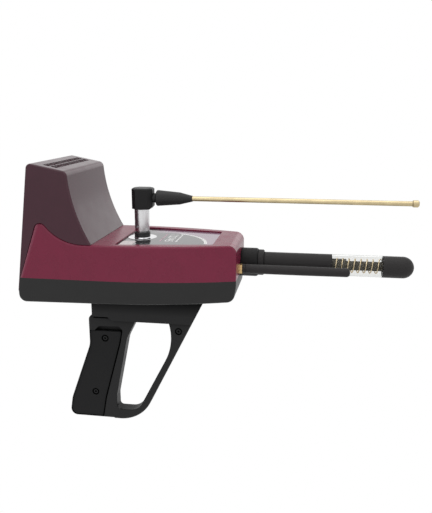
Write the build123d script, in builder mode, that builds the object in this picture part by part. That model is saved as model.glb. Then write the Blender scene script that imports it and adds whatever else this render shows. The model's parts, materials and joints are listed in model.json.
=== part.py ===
from build123d import *
import math
import os

os.makedirs("parts", exist_ok=True)

# Hand-held gemstone detector: a two-shell housing on a slab grip with a finger guard, a display
# hood at its rear, a free-turning telescopic pointer on its dial, and two probes at its nose.
# Millimetres. The origin is the middle of the grip, +X points forward and +Z up.

# Driving dimensions of the housing
top_z = 150.0            # flat top above the middle of the grip
upper_depth = 36.5       # flat top down to the split line
lower_depth = 24.5       # split line down to the middle height of the underside
housing_half = 57.2      # half width at the split line, where the sides run straight
side_draft = 2.4         # degrees, upper shell
lower_draft = 1.6        # degrees, lower shell
side_curve_x = 27.0      # where the straight sides begin to curve in
side_radius = 422.0      # curve of the sides towards the nose
nose_x = 156.5           # flat front face
nose_round = 8.5         # round from the flat top into the front face
edge_round = 2.2         # round along the shells' long edges
wall = 3.0               # wall of the shells and the hood
top_wall = 6.0           # flat top, thick enough for the dial's recess
seam_gap = 0.2           # open line between mouldings
bond = 1.0               # how far one block of a moulding is sunk into another
past = 1.0               # how far a cut runs past the face it leaves by
same = 0.01              # lengths that differ by less are taken as equal

# Driving dimensions of the lower shell
chin_lip = 6.0           # upright strip under the split line, at the nose
chin_setback = 2.6       # slope of the chin, from that strip to the underside
chin_round = 8.0
lip_round = 20.0         # eases the strip into the chin
heel_drop = 1.9          # underside at the heel, below its middle height
chin_rise = 1.85         # underside at the chin, above it
floor_wall = 4.0         # floor of the shell above that height
heel_round = 8.0         # rear lower corner
heel_step = 1.3          # heel stands out this far under the hood's rear wall
heel_height = 10.0       # underside up to that ledge

# Driving dimensions of the display hood
hood_x = 12.0            # foot of the front curve on the flat top
hood_setback = 1.7       # hood's sides inside the widest line of the shells
hood_front_height = 73.0
hood_lean = 21.5         # how far the top front edge lies behind the foot
hood_bulge = 4.5         # hollow of the front curve, from its chord
hood_top_length = 41.6
hood_top_rise = 8.2      # how much higher the rear edge of the top is
rear_lean = 8.0          # degrees, rear face
rear_wall = 4.0
hood_front_round = 6.0
hood_rear_round = 5.0
hood_corner_round = 1.5
seam_flat = 9.0          # level start of the seam between hood and shell
seam_radius = 49.6       # its rise towards the cheek
cheek_x = -52.7          # rear line of the cheek at the height of the flat top
cheek_round = 6.5
rear_lip = 1.9           # hood's rear wall seen behind the sides of the shells

# Speaker slots in the hood's top
slot_rows = 2
slot_width = 5.8
slot_length = 7.0
slot_pitch_y = 7.2
slot_pitch_x = 8.2
mesh_thickness = 0.8
mesh_margin = 3.0        # added to the slots' field for the size of the mesh
mesh_end_room = 2.5      # least room from the mesh to the hood's sides
speaker_radius = 13.5
speaker_depth = 12.0
speaker_ahead = 3.5      # middle of the speaker ahead of the middle of the top

# Rear fascia, display and keys
fascia_width = 92.0
fascia_height = 104.0
fascia_thickness = 1.5
fascia_centre_z = 170.0
fascia_corner = 6.0
fit_gap = 0.2            # between a plate and the recess that holds it
display_width = 72.0
display_height = 46.0
display_rise = 19.0      # middle of the display above the middle of the fascia
glass_thickness = 1.2
glass_ledge = 3.0
module_depth = 6.0
key_width = 13.0
key_height = 7.5
key_pitch = 18.0
key_drop = 17.0          # middle of the key row below the middle of the fascia
power_radius = 5.5
power_drop = 36.0
key_proud = 1.2
key_flange = 1.6
key_flange_depth = 1.2
key_gap = 0.3            # running gap round a key
key_travel = 0.8
board_thickness = 1.6
switch_size = 6.0
switch_depth = 2.4

# Dial and swivel
dial_rear_x = 34.0
dial_front_x = 132.0
dial_rear_half = 48.0
dial_front_half = 33.0
dial_corner = 3.0
dial_depth = 1.8         # flat top down to the dial's face
dial_thickness = 1.0
swivel_x = 50.2
dial_rim_round = 0.6      # rim of the dial's recess
dial_washer_radius = 15.3
dial_washer_thickness = 0.3
washer_hub_radius = 8.8  # raised ring of the washer, under the collar
washer_hub_height = 0.9
collar_radius = 8.45
collar_height = 5.4
collar_barrel_radius = 7.0
collar_bevel = 0.8
barrel_spare = 1.5       # bush past its nut
bush_nut_height = 3.0
bush_nut_radius = 11.0
spindle_radius = 4.0
spindle_spare = 1.5      # spindle past its clip
spindle_bevel = 0.5
running_gap = 0.05       # radial, round what turns or slides
washer_thickness = 0.6
washer_radius = 6.6
post_radius = 7.85
post_bevel = 0.6
post_height = 24.4
post_groove = 11.0       # middle of the turned groove above the foot of the post
groove_width = 0.6
groove_depth = 0.3
clip_thickness = 1.0
clip_play = 0.2
clip_outer = 6.5
clip_mouth = 4.8
clip_groove_depth = 1.0
set_screw_radius = 1.4
set_screw_rise = 6.0
set_screw_turn = -110.0  # degrees about the post
set_screw_seat = 3.5     # inner end of the set screw, from the post's axis
set_screw_sink = 0.4     # outer end below the post's surface
set_screw_socket = 0.8
set_screw_socket_depth = 1.2
spigot_radius = 5.0
spigot_height = 7.0

# Elbow head, boot and telescopic whip
head_length = 22.6
head_rear = 9.4         # rear face behind the swivel axis
head_half = 9.5
head_height = 22.0
head_edge = 1.2
head_corner = 5.0        # upright corners
head_foot_bevel = 3.0
whip_rise = 41.0         # whip axis above the flat top
neck_radius = 5.0
neck_length = 3.6
boot_length = 38.4
boot_radius = 8.4
boot_shoulder = 24.9
boot_shoulder_radius = 6.4
boot_tip_radius = 3.1
boot_bevel = 1.0
whip_radius = 2.6
whip_wall = 0.45
whip_reach = 277.7       # front end of the outer tube, ahead of the swivel axis
whip_seat = 7.0          # how far the outer tube runs into the head
whip_step = 2.0          # rear end of each inner tube ahead of the one round it
tip_radius = 3.6
tip_length = 6.5
tip_gap = 0.3
tip_bore = 4.55          # depth of the hole for the innermost rod
tip_nose_bevel = 1.2
tip_heel_bevel = 0.6

# Probes at the nose
probe_y = 15.0
probe_drop = 28.6        # axes below the flat top
collar_length = 18.5
collar_outer = 15.3
collar_nose = 3.0
ring_length = 5.7
ring_outer = 13.8
ring_bevel = 0.8
probe_outer = 11.4
probe_wall = 1.5
probe_spigot = 5.5
probe_nut_flats = 15.0
probe_nut_height = 5.0
probe_spigot_spare = 2.0 # spigot past its nut
collar_floor = 8.5       # floor of the collar's bore, ahead of the nose face
tube_reach = 96.1        # nose face to the rear end of the window
window_length = 52.4
window_wall = 1.2
tip_reach = 32.0
bulkhead = 4.0
core_radius = 4.9
core_seat = 8.0
sleeve_radius = 6.9
sleeve_length = 15.0
coil_radius = 7.55
coil_wire_diameter = 0.9
coil_turns = 7.25
coil_lead_angle = 205.0  # degrees round the core, where the winding begins

stick_y = -15.0
sma_flats = 9.2
sma_length = 4.0
sma_thread = 3.1
sma_tail = 3.0           # thread past its nut inside the nose
sma_tip_gap = 0.4        # thread short of the ferrule's front
sma_nut_height = 2.2
ferrule_radius = 4.8
ferrule_length = 3.6
ferrule_bevel = 0.4
stick_radius = 4.8
stick_straight = 60.0
stick_length = 106.0
stick_tip_radius = 4.5
stick_end_round = 3.4

# Grip, guard and saddle
grip_half = 7.5
saddle_half = 11.5
grip_base_z = -66.8
guard_foot_drop = 0.3    # foot of the guard below the base of the handle
guard_foot_x = 12.3      # step between the two
saddle_rear_x = -7.5
saddle_front_x = 122.3   # where the guard's front line meets the underside
saddle_depth = 34.5
heel_lug_length = 18.0   # rear stretch of the saddle, shallower than the rest
heel_lug_depth = 30.5
heel_lug_slope = 5.0     # run of the slope from the shallow stretch to the deep one
lug_gap = 3.0            # open groove in the handle under the shallow stretch
lug_gap_depth = 2.5
slab_top_drop = 4.0      # slab's top below the underside of the shell, inside the saddle
slab_rear_inset = 2.0    # slab's rear inside the rear of the saddle
guard_lean = 26.7        # degrees, front line of the guard
guard_foot_radius = 40.0
grip_rear_x = -13.8
grip_waist_z = 23.0
grip_swell = (-38.7, -44.5)
grip_heel_x = -42.3
grip_shoulder_round = 6.0
grip_waist_round = 25.0
grip_swell_round = 30.0
grip_heel_round = 8.0
handle_edge_round = 3.0
guard_edge_round = 2.0
opening_floor_z = -54.7
opening_floor_rear_x = 16.1
opening_floor_front_x = 40.9
opening_bend_z = 9.0      # where the opening's front edge begins to curve back
guard_wall = 8.0         # guard at that height, along X
opening_roof_rear_x = 41.5
opening_roof_front_x = 78.3
finger_rest = (30.5, 33.0)
finger_foot = (16.0, -38.0)
opening_rear_round = 4.0
opening_front_round = 15.0
finger_rest_round = 25.0
finger_foot_round = 20.0
opening_edge_round = 1.2
panel_inset = 1.5
panel_thickness = 3.5
panel_gap = 1.2          # round the top and the front of a panel
panel_rim = 1.2          # handle left behind and below a panel
panel_edge_bevel = 0.8
grip_screw_head = 2.5
grip_screw_head_height = 2.0
grip_screw_reach = 3.5
grip_screw_well = 4.2
grip_screw_sink = 2.2    # depth of a well below the face it is in

# Places worked out from the driving dimensions
split_z = top_z - upper_depth
base_z = split_z - lower_depth
floor_z = base_z + floor_wall
inner_half = housing_half - wall
hood_half = housing_half - hood_setback
slot_columns = int((2 * (hood_half - wall - mesh_end_room) - mesh_margin) / slot_pitch_y)
hood_top_front = (hood_x - hood_lean, top_z + hood_front_height)
hood_top_rear = (hood_top_front[0] - hood_top_length, hood_top_front[1] + hood_top_rise)
ledge_z = base_z + heel_height
probe_z = top_z - probe_drop
whip_z = top_z + whip_rise
dial_face_z = top_z - dial_depth
lean_sin = math.sin(math.radians(rear_lean))
lean_cos = math.cos(math.radians(rear_lean))
across = 4 * housing_half
side_plane = Plane.XZ.offset(-across / 2)


def rear_x(z, inset=0.0):
    """The rear face of the hood at a height, or a line that far inside it."""
    return hood_top_rear[0] - (hood_top_rear[1] - z) * lean_sin / lean_cos + inset / lean_cos


def under_z(x):
    """The sloping underside of the lower shell at a place along the housing."""
    heel_x = rear_x(ledge_z, rear_lip + seam_gap) - heel_step
    share = (x - heel_x) / (nose_x - chin_setback - heel_x)
    return base_z - heel_drop + share * (heel_drop + chin_rise)


def cheek_rear_x(z):
    """The rear line of the upper shell's cheek at a height."""
    foot_x = rear_x(split_z, rear_lip + seam_gap)
    return cheek_x + (z - top_z) * (cheek_x - foot_x) / upper_depth


def rear_plane(inset=0.0, along=0.0):
    """A plane parallel to the hood's rear face, facing the user, with its Y axis up the face."""
    z = fascia_centre_z + along * lean_cos
    return Plane(
        origin=(rear_x(fascia_centre_z) + along * lean_sin + inset * lean_cos, 0, z - inset * lean_sin),
        x_dir=(0, -1, 0),
        z_dir=(-lean_cos, 0, lean_sin),
    )


def outline(points, corner=0.0):
    """A closed outline through points, with every corner rounded alike when asked."""
    with BuildSketch() as shape:
        with BuildLine():
            Polyline(*points, close=True)
        make_face()
        if corner > 0:
            fillet(vertices(), corner)
    return shape.sketch


def plan_outline():
    """The housing's outline at the split line, running past its rear and its nose."""
    margin = 2 * wall
    tail_x = rear_x(base_z) - margin
    reach = nose_x + margin - side_curve_x
    tip_half = housing_half - side_radius + math.sqrt(side_radius**2 - reach**2)
    with BuildSketch() as plan:
        with BuildLine():
            Line((tail_x, 0), (tail_x, -housing_half))
            Line((tail_x, -housing_half), (side_curve_x, -housing_half))
            TangentArc((side_curve_x, -housing_half), (nose_x + margin, -tip_half), tangent=(1, 0))
            Line((nose_x + margin, -tip_half), (nose_x + margin, 0))
            mirror(about=Plane.XZ)
        make_face()
    return plan.sketch


def cheek_apex():
    """Where the seam's arc would meet the rear line of the cheek, found by halving."""
    arc_x = hood_x - seam_flat
    low = top_z
    high = top_z + seam_radius
    while high - low > same / 100:
        z = (low + high) / 2
        rise = z - top_z
        seam_x = arc_x - math.sqrt(seam_radius**2 - (seam_radius - rise) ** 2)
        if seam_x > cheek_rear_x(z):
            low = z
        else:
            high = z
    return cheek_rear_x(low), low


def upper_profile():
    """Side outline of the upper shell: cheek, seam, flat top, rounded nose."""
    apex = cheek_apex()
    seam_start = (hood_x - seam_flat, top_z)
    with BuildSketch() as profile:
        with BuildLine():
            Line((cheek_rear_x(split_z), split_z), apex)
            TangentArc(seam_start, apex, tangent=(-1, 0))
            Line(seam_start, (nose_x - nose_round, top_z))
            TangentArc((nose_x - nose_round, top_z), (nose_x, top_z - nose_round), tangent=(1, 0))
            Line((nose_x, top_z - nose_round), (nose_x, split_z))
            Line((nose_x, split_z), (cheek_rear_x(split_z), split_z))
        make_face()
        fillet(vertices().sort_by(Axis.Y)[-1], cheek_round)
    return profile.sketch


def lower_profile():
    """Side outline of the lower shell, chin, underside and heel, before the ledge is cut."""
    heel_x = rear_x(ledge_z, rear_lip + seam_gap) - heel_step
    lip_corner = (nose_x, split_z - chin_lip)
    chin_corner = (nose_x - chin_setback, under_z(nose_x - chin_setback))
    heel_corner = (heel_x, under_z(heel_x))
    with BuildSketch() as profile:
        add(outline([(nose_x, split_z), (heel_x, split_z), heel_corner, chin_corner, lip_corner]))
        fillet(vertices().sort_by_distance(lip_corner)[0], lip_round)
        fillet(vertices().sort_by_distance(chin_corner)[0], chin_round)
        fillet(vertices().sort_by_distance(heel_corner)[0], heel_round)
    return profile.sketch


def behind_lip(inset, foot_z):
    """Everything behind a line that far inside the rear face, from a height to above the split."""
    return outline([
        (rear_x(foot_z, inset), foot_z),
        (rear_x(split_z + wall, inset), split_z + wall),
        (rear_x(base_z) - wall, split_z + wall),
        (rear_x(base_z) - wall, foot_z),
    ])


def outer_edges(part, z_seam, side):
    """The edges where one side of a shell meets its top, nose, heel or underside."""
    chosen = ShapeList()
    for edge in part.edges():
        box = edge.bounding_box()
        on_seam = abs(box.min.Z - z_seam) < same and abs(box.max.Z - z_seam) < same
        crosses = box.size.Y > housing_half / 2
        joins_sides = abs(edge.center().X - side_curve_x) < same and box.size.X < same
        if side * edge.center().Y > 0 and not on_seam and not crosses and not joins_sides:
            chosen.append(edge)
    return chosen


# Screws that hold the shells together: places on the plan, and sizes
rear_screw_x = -40.0
front_screw_x = 136.0
front_screw_y = 27.0
screw_radius = 1.5
screw_head_radius = 2.9
screw_head_height = 2.4
screw_bite = 9.0
pilot_spare = 1.0        # pilot hole past the end of its screw
pillar_radius = 4.5
pillar_bond = 0.45       # overlap of a rear pillar with the side wall
hole_gap = 0.25
rear_screw_y = inner_half + pillar_bond - pillar_radius
shell_screw_places = [(rear_screw_x, rear_screw_y), (rear_screw_x, -rear_screw_y),
                      (front_screw_x, front_screw_y), (front_screw_x, -front_screw_y)]


def screw_seat_z(x):
    """Where the head of a shell screw bears, at a place along the housing."""
    return under_z(x) + screw_head_height + hole_gap


# Screws that hold the hood down on the rear of the flat top
hood_screw_y = 32.0
hood_ledge = 16.0        # flat top behind the hood's foot, under its front wall
hood_boss_radius = 4.2
hood_boss_height = 9.0
hood_boss_roof = 1.0     # boss above its pilot hole
hood_screw_setback = 10.0
hood_screw_x = hood_x - hood_screw_setback
hood_screw_places = [(hood_screw_x, hood_screw_y), (hood_screw_x, -hood_screw_y)]

# Screws that hold the saddle under the lower shell
saddle_screw_bite = 12.0
saddle_screw_y = 5.5
saddle_screw_rear_inset = 13.0
saddle_screw_front_inset = 24.0
saddle_screw_rear_x = saddle_rear_x + saddle_screw_rear_inset
saddle_screw_front_x = saddle_front_x - saddle_screw_front_inset
saddle_screw_places = [(saddle_screw_rear_x, saddle_screw_y), (saddle_screw_rear_x, -saddle_screw_y),
                       (saddle_screw_front_x, saddle_screw_y), (saddle_screw_front_x, -saddle_screw_y)]

# Main board, battery and charging socket inside the lower shell
board_rear_x = 16.0
board_front_x = 128.0
board_rear_half = 42.0
board_front_half = 26.0
board_lift = 7.0
board_corner = 2.0
standoff_radius = 3.0
standoff_inset = 6.0
battery_length = 46.0
battery_width = 66.0
battery_height = 19.0
battery_corner = 3.0
battery_rib_width = 40.0
battery_rib_height = 9.5
battery_rear_gap = 4.0
battery_rear_x = rear_x(floor_z, rear_wall + seam_gap + wall) + battery_rear_gap
battery_front_x = battery_rear_x + battery_length
jack_x = -8.0
jack_radius = 1.8
jack_barrel_radius = 4.0
jack_depth = 14.0
jack_end_wall = 2.2
jack_flange_radius = 5.2
jack_flange = 1.2
jack_drop = 13.0         # below the split line
jack_z = split_z - jack_drop

# Corners of the dial's recess
dial_corners = [
    (dial_rear_x, -dial_rear_half),
    (dial_front_x, -dial_front_half),
    (dial_front_x, dial_front_half),
    (dial_rear_x, dial_rear_half),
]


def recess_rim(part):
    """The edges of the dial's recess in the flat top."""
    chosen = ShapeList()
    for edge in part.edges():
        box = edge.bounding_box()
        on_top = abs(box.min.Z - top_z) < same and abs(box.max.Z - top_z) < same
        in_reach = box.min.X > dial_rear_x - same and box.max.X < dial_front_x + same
        if on_top and in_reach and abs(edge.center().Y) < dial_rear_half + same:
            chosen.append(edge)
    return chosen


# Upper shell
with BuildPart() as upper_cavity:
    with BuildSketch(Plane.XY.offset(split_z)):
        add(plan_outline())
        offset(amount=-wall, mode=Mode.REPLACE)
    extrude(amount=upper_depth + seam_radius, taper=side_draft)
    with BuildSketch(side_plane):
        with BuildLine():
            Polyline(
                (nose_x - wall, split_z),
                (nose_x - wall, top_z - top_wall),
                (hood_x - hood_ledge, top_z - top_wall),
                (hood_x - hood_ledge, top_z),
                (hood_x - seam_flat, top_z),
                (hood_x - seam_flat, top_z + seam_radius),
                (rear_x(base_z), top_z + seam_radius),
                (rear_x(base_z), split_z),
                close=True,
            )
        make_face()
    extrude(amount=across, mode=Mode.INTERSECT)

with BuildPart() as upper_shell:
    with BuildSketch(Plane.XY.offset(split_z)):
        add(plan_outline())
    extrude(amount=upper_depth + seam_radius, taper=side_draft)
    with BuildSketch(side_plane):
        add(upper_profile())
    extrude(amount=across, mode=Mode.INTERSECT)
    for side in (-1, 1):
        fillet(outer_edges(upper_shell.part, split_z, side), edge_round)
    add(upper_cavity.part, mode=Mode.SUBTRACT)
    # pillars for the shell screws
    with BuildSketch(Plane.XY.offset(split_z)):
        with Locations(*shell_screw_places):
            Circle(pillar_radius)
    extrude(amount=upper_depth - top_wall + bond)
    with BuildSketch(Plane.XY.offset(split_z)):
        with Locations(*shell_screw_places):
            Circle(screw_radius)
    extrude(amount=screw_bite + pilot_spare, mode=Mode.SUBTRACT)
    # recess for the dial
    with BuildSketch(Plane.XY.offset(top_z)):
        add(outline(dial_corners, dial_corner))
    extrude(amount=-dial_depth - dial_thickness, mode=Mode.SUBTRACT)
    fillet(recess_rim(upper_shell.part), dial_rim_round)
    # hole for the swivel's bush
    with BuildSketch(Plane.XY.offset(top_z)):
        with Locations((swivel_x, 0)):
            Circle(collar_barrel_radius + hole_gap)
    extrude(amount=-2 * top_wall, mode=Mode.SUBTRACT)
    # holes for the probe and the stick antenna
    with BuildSketch(Plane.YZ.offset(nose_x)):
        with Locations((probe_y, probe_z)):
            Circle(probe_spigot + hole_gap)
        with Locations((stick_y, probe_z)):
            Circle(sma_thread + hole_gap)
    extrude(amount=-2 * wall, mode=Mode.SUBTRACT)
    # holes for the hood's screws
    with BuildSketch(Plane.XY.offset(top_z)):
        with Locations(*hood_screw_places):
            Circle(screw_radius + hole_gap)
    extrude(amount=-2 * top_wall, mode=Mode.SUBTRACT)
upper_shell.part.label = "upper_shell"
export_step(upper_shell.part, "parts/upper_shell.step")

# Lower shell
down_plane = Plane(origin=(0, 0, split_z), x_dir=(1, 0, 0), z_dir=(0, 0, -1))


def lower_half(z):
    """Half width of the lower shell's straight sides at a height."""
    return housing_half - (split_z - z) * math.tan(math.radians(lower_draft))


board_corners = [
    (board_rear_x, -board_rear_half),
    (board_front_x, -board_front_half),
    (board_front_x, board_front_half),
    (board_rear_x, board_rear_half),
]
board_places = [
    (board_rear_x + standoff_inset, board_rear_half - 2 * standoff_inset),
    (board_rear_x + standoff_inset, 2 * standoff_inset - board_rear_half),
    (board_front_x - standoff_inset, board_front_half - standoff_inset),
    (board_front_x - standoff_inset, standoff_inset - board_front_half),
]

with BuildPart() as lower_cavity:
    with BuildSketch(down_plane):
        add(plan_outline())
        offset(amount=-wall, mode=Mode.REPLACE)
    extrude(amount=split_z - floor_z, taper=lower_draft)
    with BuildSketch(side_plane):
        add(outline([
            (nose_x - wall, split_z),
            (rear_x(split_z, rear_wall + seam_gap + wall), split_z),
            (rear_x(floor_z, rear_wall + seam_gap + wall), floor_z),
            (nose_x - wall - chin_setback, floor_z),
            (nose_x - wall, split_z - chin_lip),
        ]))
    extrude(amount=across, mode=Mode.INTERSECT)

with BuildPart() as lower_shell:
    with BuildSketch(down_plane):
        add(plan_outline())
    extrude(amount=lower_depth + heel_drop, taper=lower_draft)
    with BuildSketch(side_plane):
        add(lower_profile())
    extrude(amount=across, mode=Mode.INTERSECT)
    for side in (-1, 1):
        fillet(outer_edges(lower_shell.part, split_z, side), edge_round)
    add(lower_cavity.part, mode=Mode.SUBTRACT)
    # ledge for the hood's rear wall, deeper between the sides
    with BuildSketch(side_plane):
        add(behind_lip(rear_lip + seam_gap, ledge_z))
    extrude(amount=across, mode=Mode.SUBTRACT)
    with BuildSketch(Plane.XZ.offset(-inner_half)):
        add(behind_lip(rear_wall + seam_gap, ledge_z))
    extrude(amount=2 * inner_half, mode=Mode.SUBTRACT)
    # bosses for the shell screws, and standoffs for the main board
    with BuildSketch(Plane.XY.offset(floor_z - bond)):
        with Locations(*shell_screw_places):
            Circle(pillar_radius)
    extrude(amount=split_z - floor_z + bond)
    with BuildSketch(Plane.XY.offset(floor_z - bond)):
        with Locations(*board_places):
            Circle(standoff_radius)
    extrude(amount=board_lift + bond)
    with BuildSketch(Plane.XY.offset(split_z)):
        with Locations(*shell_screw_places, *saddle_screw_places):
            Circle(screw_radius + hole_gap)
    extrude(amount=-lower_depth - heel_drop, mode=Mode.SUBTRACT)
    for place in shell_screw_places:
        with BuildSketch(Plane.XY.offset(screw_seat_z(place[0]))):
            with Locations(place):
                Circle(screw_head_radius + hole_gap)
        extrude(amount=-lower_depth, mode=Mode.SUBTRACT)
    # rib that keeps the battery against the rear wall
    with BuildSketch(Plane.XY.offset(floor_z - bond)):
        with Locations((battery_front_x + fit_gap + wall / 2, 0)):
            Rectangle(wall, battery_rib_width)
    extrude(amount=battery_rib_height + bond)
    # hole for the charging socket, in the left side
    with BuildSketch(Plane.XZ.offset(-lower_half(jack_z) - wall)):
        with Locations((jack_x, jack_z)):
            Circle(jack_barrel_radius + hole_gap)
    extrude(amount=3 * wall, mode=Mode.SUBTRACT)
lower_shell.part.label = "lower_shell"
export_step(lower_shell.part, "parts/lower_shell.step")

# Display hood
top_length = math.hypot(hood_top_length, hood_top_rise)
top_cos = hood_top_length / top_length
top_sin = hood_top_rise / top_length
apron_rise = upper_depth + seam_radius / 2
apron_half = inner_half - apron_rise * math.tan(math.radians(side_draft)) - seam_gap


def hood_top_plane(depth=0.0, ahead=0.0):
    """A plane parallel to the hood's top and below it, with its X axis forward down the slope."""
    middle_x = (hood_top_front[0] + hood_top_rear[0]) / 2
    middle_z = (hood_top_front[1] + hood_top_rear[1]) / 2
    x = middle_x + ahead * top_cos - depth * top_sin
    z = middle_z - ahead * top_sin - depth * top_cos
    return Plane(
        origin=(x, 0, z),
        x_dir=(top_cos, 0, -top_sin),
        z_dir=(top_sin, 0, top_cos),
    )


def hood_outline(rear_inset, foot_z):
    """Side outline of the hood down to a height, with its rear face moved in when asked."""
    along = rear_inset / (top_cos * lean_cos + top_sin * lean_sin)
    crest = (hood_top_rear[0] + along * top_cos, hood_top_rear[1] - along * top_sin)
    chord_x = hood_top_front[0] - hood_x
    chord_z = hood_top_front[1] - top_z
    chord = math.hypot(chord_x, chord_z)
    hollow = (
        hood_x + chord_x / 2 - hood_bulge * chord_z / chord,
        top_z + chord_z / 2 + hood_bulge * chord_x / chord,
    )
    with BuildSketch() as profile:
        with BuildLine():
            Polyline(
                hood_top_front,
                crest,
                (rear_x(foot_z, rear_inset), foot_z),
                (hood_x, foot_z),
                (hood_x, top_z),
            )
            ThreePointArc((hood_x, top_z), hollow, hood_top_front)
        make_face()
        fillet(vertices().sort_by_distance(crest)[0], hood_rear_round)
        fillet(vertices().sort_by_distance(hood_top_front)[0], hood_front_round)
    return profile.sketch


def hood_side_edges(part):
    """The long edges of the hood's two sides, but not those at its foot."""
    chosen = ShapeList()
    for edge in part.edges():
        box = edge.bounding_box()
        on_side = box.size.Y < same and abs(abs(box.min.Y) - hood_half) < same
        at_foot = box.max.Z < top_z + same and box.max.X > rear_x(top_z) + wall
        if on_side and not at_foot:
            chosen.append(edge)
    return chosen


key_places = [((column - 1.5) * key_pitch, -key_drop) for column in range(4)]
power_place = (0, -power_drop)
wall_left = rear_wall - fascia_thickness
key_rest = 0.1           # key's flange stands this far off the wall at rest
board_inset = rear_wall + key_rest + key_flange_depth + key_travel + key_rest + switch_depth
key_board_width = 84.0
key_board_height = 36.0
key_board_drop = (key_drop + power_drop) / 2
key_post_radius = 2.5
key_post_inset = 4.0
key_post_y = key_board_height / 2 - key_post_inset
key_post_x = key_board_width / 2 - key_post_inset
key_post_places = [
    (-key_post_x, -key_board_drop - key_post_y),
    (-key_post_x, -key_board_drop + key_post_y),
    (key_post_x, -key_board_drop - key_post_y),
    (key_post_x, -key_board_drop + key_post_y),
]
glass_corner = 2.0


def key_holes(gap):
    """The outlines of the four keys and the round power key, grown by a gap."""
    with BuildSketch() as holes:
        with Locations(*key_places):
            SlotOverall(key_width + 2 * gap, key_height + 2 * gap)
        with Locations(power_place):
            Circle(power_radius + gap)
    return holes.sketch


with BuildPart() as hood_cavity:
    with BuildSketch(Plane.XZ.offset(wall - hood_half)):
        add(hood_outline(rear_wall - wall, ledge_z - 4 * wall))
        offset(amount=-wall, mode=Mode.REPLACE)
    extrude(amount=2 * (hood_half - wall))

with BuildPart() as display_hood:
    with BuildSketch(Plane.XZ.offset(-hood_half)):
        add(hood_outline(0, ledge_z + seam_gap))
    extrude(amount=2 * hood_half)
    fillet(hood_side_edges(display_hood.part), hood_corner_round)
    add(hood_cavity.part, mode=Mode.SUBTRACT)
    # room for the shells: under the front wall, and at the sides along the seam
    with BuildSketch(side_plane):
        add(outline([
            (hood_x - hood_ledge, ledge_z - wall),
            (hood_x + wall, ledge_z - wall),
            (hood_x + wall, top_z + seam_gap),
            (hood_x - hood_ledge, top_z + seam_gap),
        ]))
    extrude(amount=across, mode=Mode.SUBTRACT)
    for side in (-1, 1):
        middle = side * (apron_half + across / 4)
        with BuildSketch(Plane.XZ.offset(-middle - across / 4)):
            add(upper_profile())
            offset(amount=seam_gap, mode=Mode.REPLACE)
        extrude(amount=across / 2, mode=Mode.SUBTRACT)
        with BuildSketch(Plane.XZ.offset(-middle - across / 4)):
            add(outline([
                (rear_x(ledge_z - wall, rear_lip), ledge_z - wall),
                (hood_x, ledge_z - wall),
                (hood_x, split_z + wall),
                (rear_x(split_z, rear_lip), split_z),
            ]))
        extrude(amount=across / 2, mode=Mode.SUBTRACT)
    # bosses for the hood's screws
    with BuildSketch(Plane.XY.offset(top_z)):
        with Locations(*hood_screw_places):
            Circle(hood_boss_radius)
    extrude(amount=hood_boss_height)
    with BuildSketch(Plane.XY.offset(top_z)):
        with Locations(*hood_screw_places):
            Circle(screw_radius)
    extrude(amount=hood_boss_height - hood_boss_roof, mode=Mode.SUBTRACT)
    # recess for the fascia, opening for the display, holes for the keys
    with BuildSketch(rear_plane()):
        RectangleRounded(fascia_width, fascia_height, fascia_corner)
    extrude(amount=-fascia_thickness, mode=Mode.SUBTRACT)
    with BuildSketch(rear_plane()):
        with Locations((0, display_rise)):
            Rectangle(display_width - 2 * glass_ledge, display_height - 2 * glass_ledge)
        add(key_holes(key_gap))
    extrude(amount=-rear_wall - wall, mode=Mode.SUBTRACT)
    # posts for the key board
    with BuildSketch(rear_plane(rear_wall - bond)):
        with Locations(*key_post_places):
            Circle(key_post_radius)
    extrude(amount=rear_wall - bond - board_inset)
    # speaker slots
    with BuildSketch(hood_top_plane()):
        with GridLocations(slot_pitch_x, slot_pitch_y, slot_rows, slot_columns):
            Rectangle(slot_length, slot_width)
    extrude(amount=-wall - past, mode=Mode.SUBTRACT)
display_hood.part.label = "display_hood"
export_step(display_hood.part, "parts/display_hood.step")

# Rear fascia and display window
with BuildPart() as rear_fascia:
    with BuildSketch(rear_plane(fascia_thickness)):
        RectangleRounded(fascia_width - 2 * fit_gap, fascia_height - 2 * fit_gap, fascia_corner - fit_gap)
        with Locations((0, display_rise)):
            RectangleRounded(display_width, display_height, glass_corner, mode=Mode.SUBTRACT)
        add(key_holes(key_gap), mode=Mode.SUBTRACT)
    extrude(amount=fascia_thickness)
rear_fascia.part.label = "rear_fascia"
export_step(rear_fascia.part, "parts/rear_fascia.step")

with BuildPart() as display_window:
    with BuildSketch(rear_plane(fascia_thickness)):
        with Locations((0, display_rise)):
            RectangleRounded(
                display_width - 2 * fit_gap,
                display_height - 2 * fit_gap,
                glass_corner - fit_gap,
            )
    extrude(amount=glass_thickness)
display_window.part.label = "display_window"
export_step(display_window.part, "parts/display_window.step")

# Display module: its face stands in the wall's opening, just behind the window
module_margin = 4.0
module_air = 0.3
module_face_inset = 2 * (glass_ledge + fit_gap)
with BuildPart() as display_module:
    with BuildSketch(rear_plane(rear_wall)):
        with Locations((0, display_rise)):
            Rectangle(display_width + module_margin, display_height + module_margin)
    extrude(amount=-module_depth)
    with BuildSketch(rear_plane(rear_wall)):
        with Locations((0, display_rise)):
            Rectangle(display_width - module_face_inset, display_height - module_face_inset)
    extrude(amount=wall_left - module_air)
display_module.part.label = "display_module"
export_step(display_module.part, "parts/display_module.step")

# Key board with its five switches
with BuildPart() as key_board:
    with BuildSketch(rear_plane(board_inset)):
        with Locations((0, -key_board_drop)):
            Rectangle(key_board_width, key_board_height)
    extrude(amount=-board_thickness)
    with BuildSketch(rear_plane(board_inset)):
        with Locations(*key_places, power_place):
            Rectangle(switch_size, switch_size)
    extrude(amount=switch_depth)
key_board.part.label = "key_board"
export_step(key_board.part, "parts/key_board.step")


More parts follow.
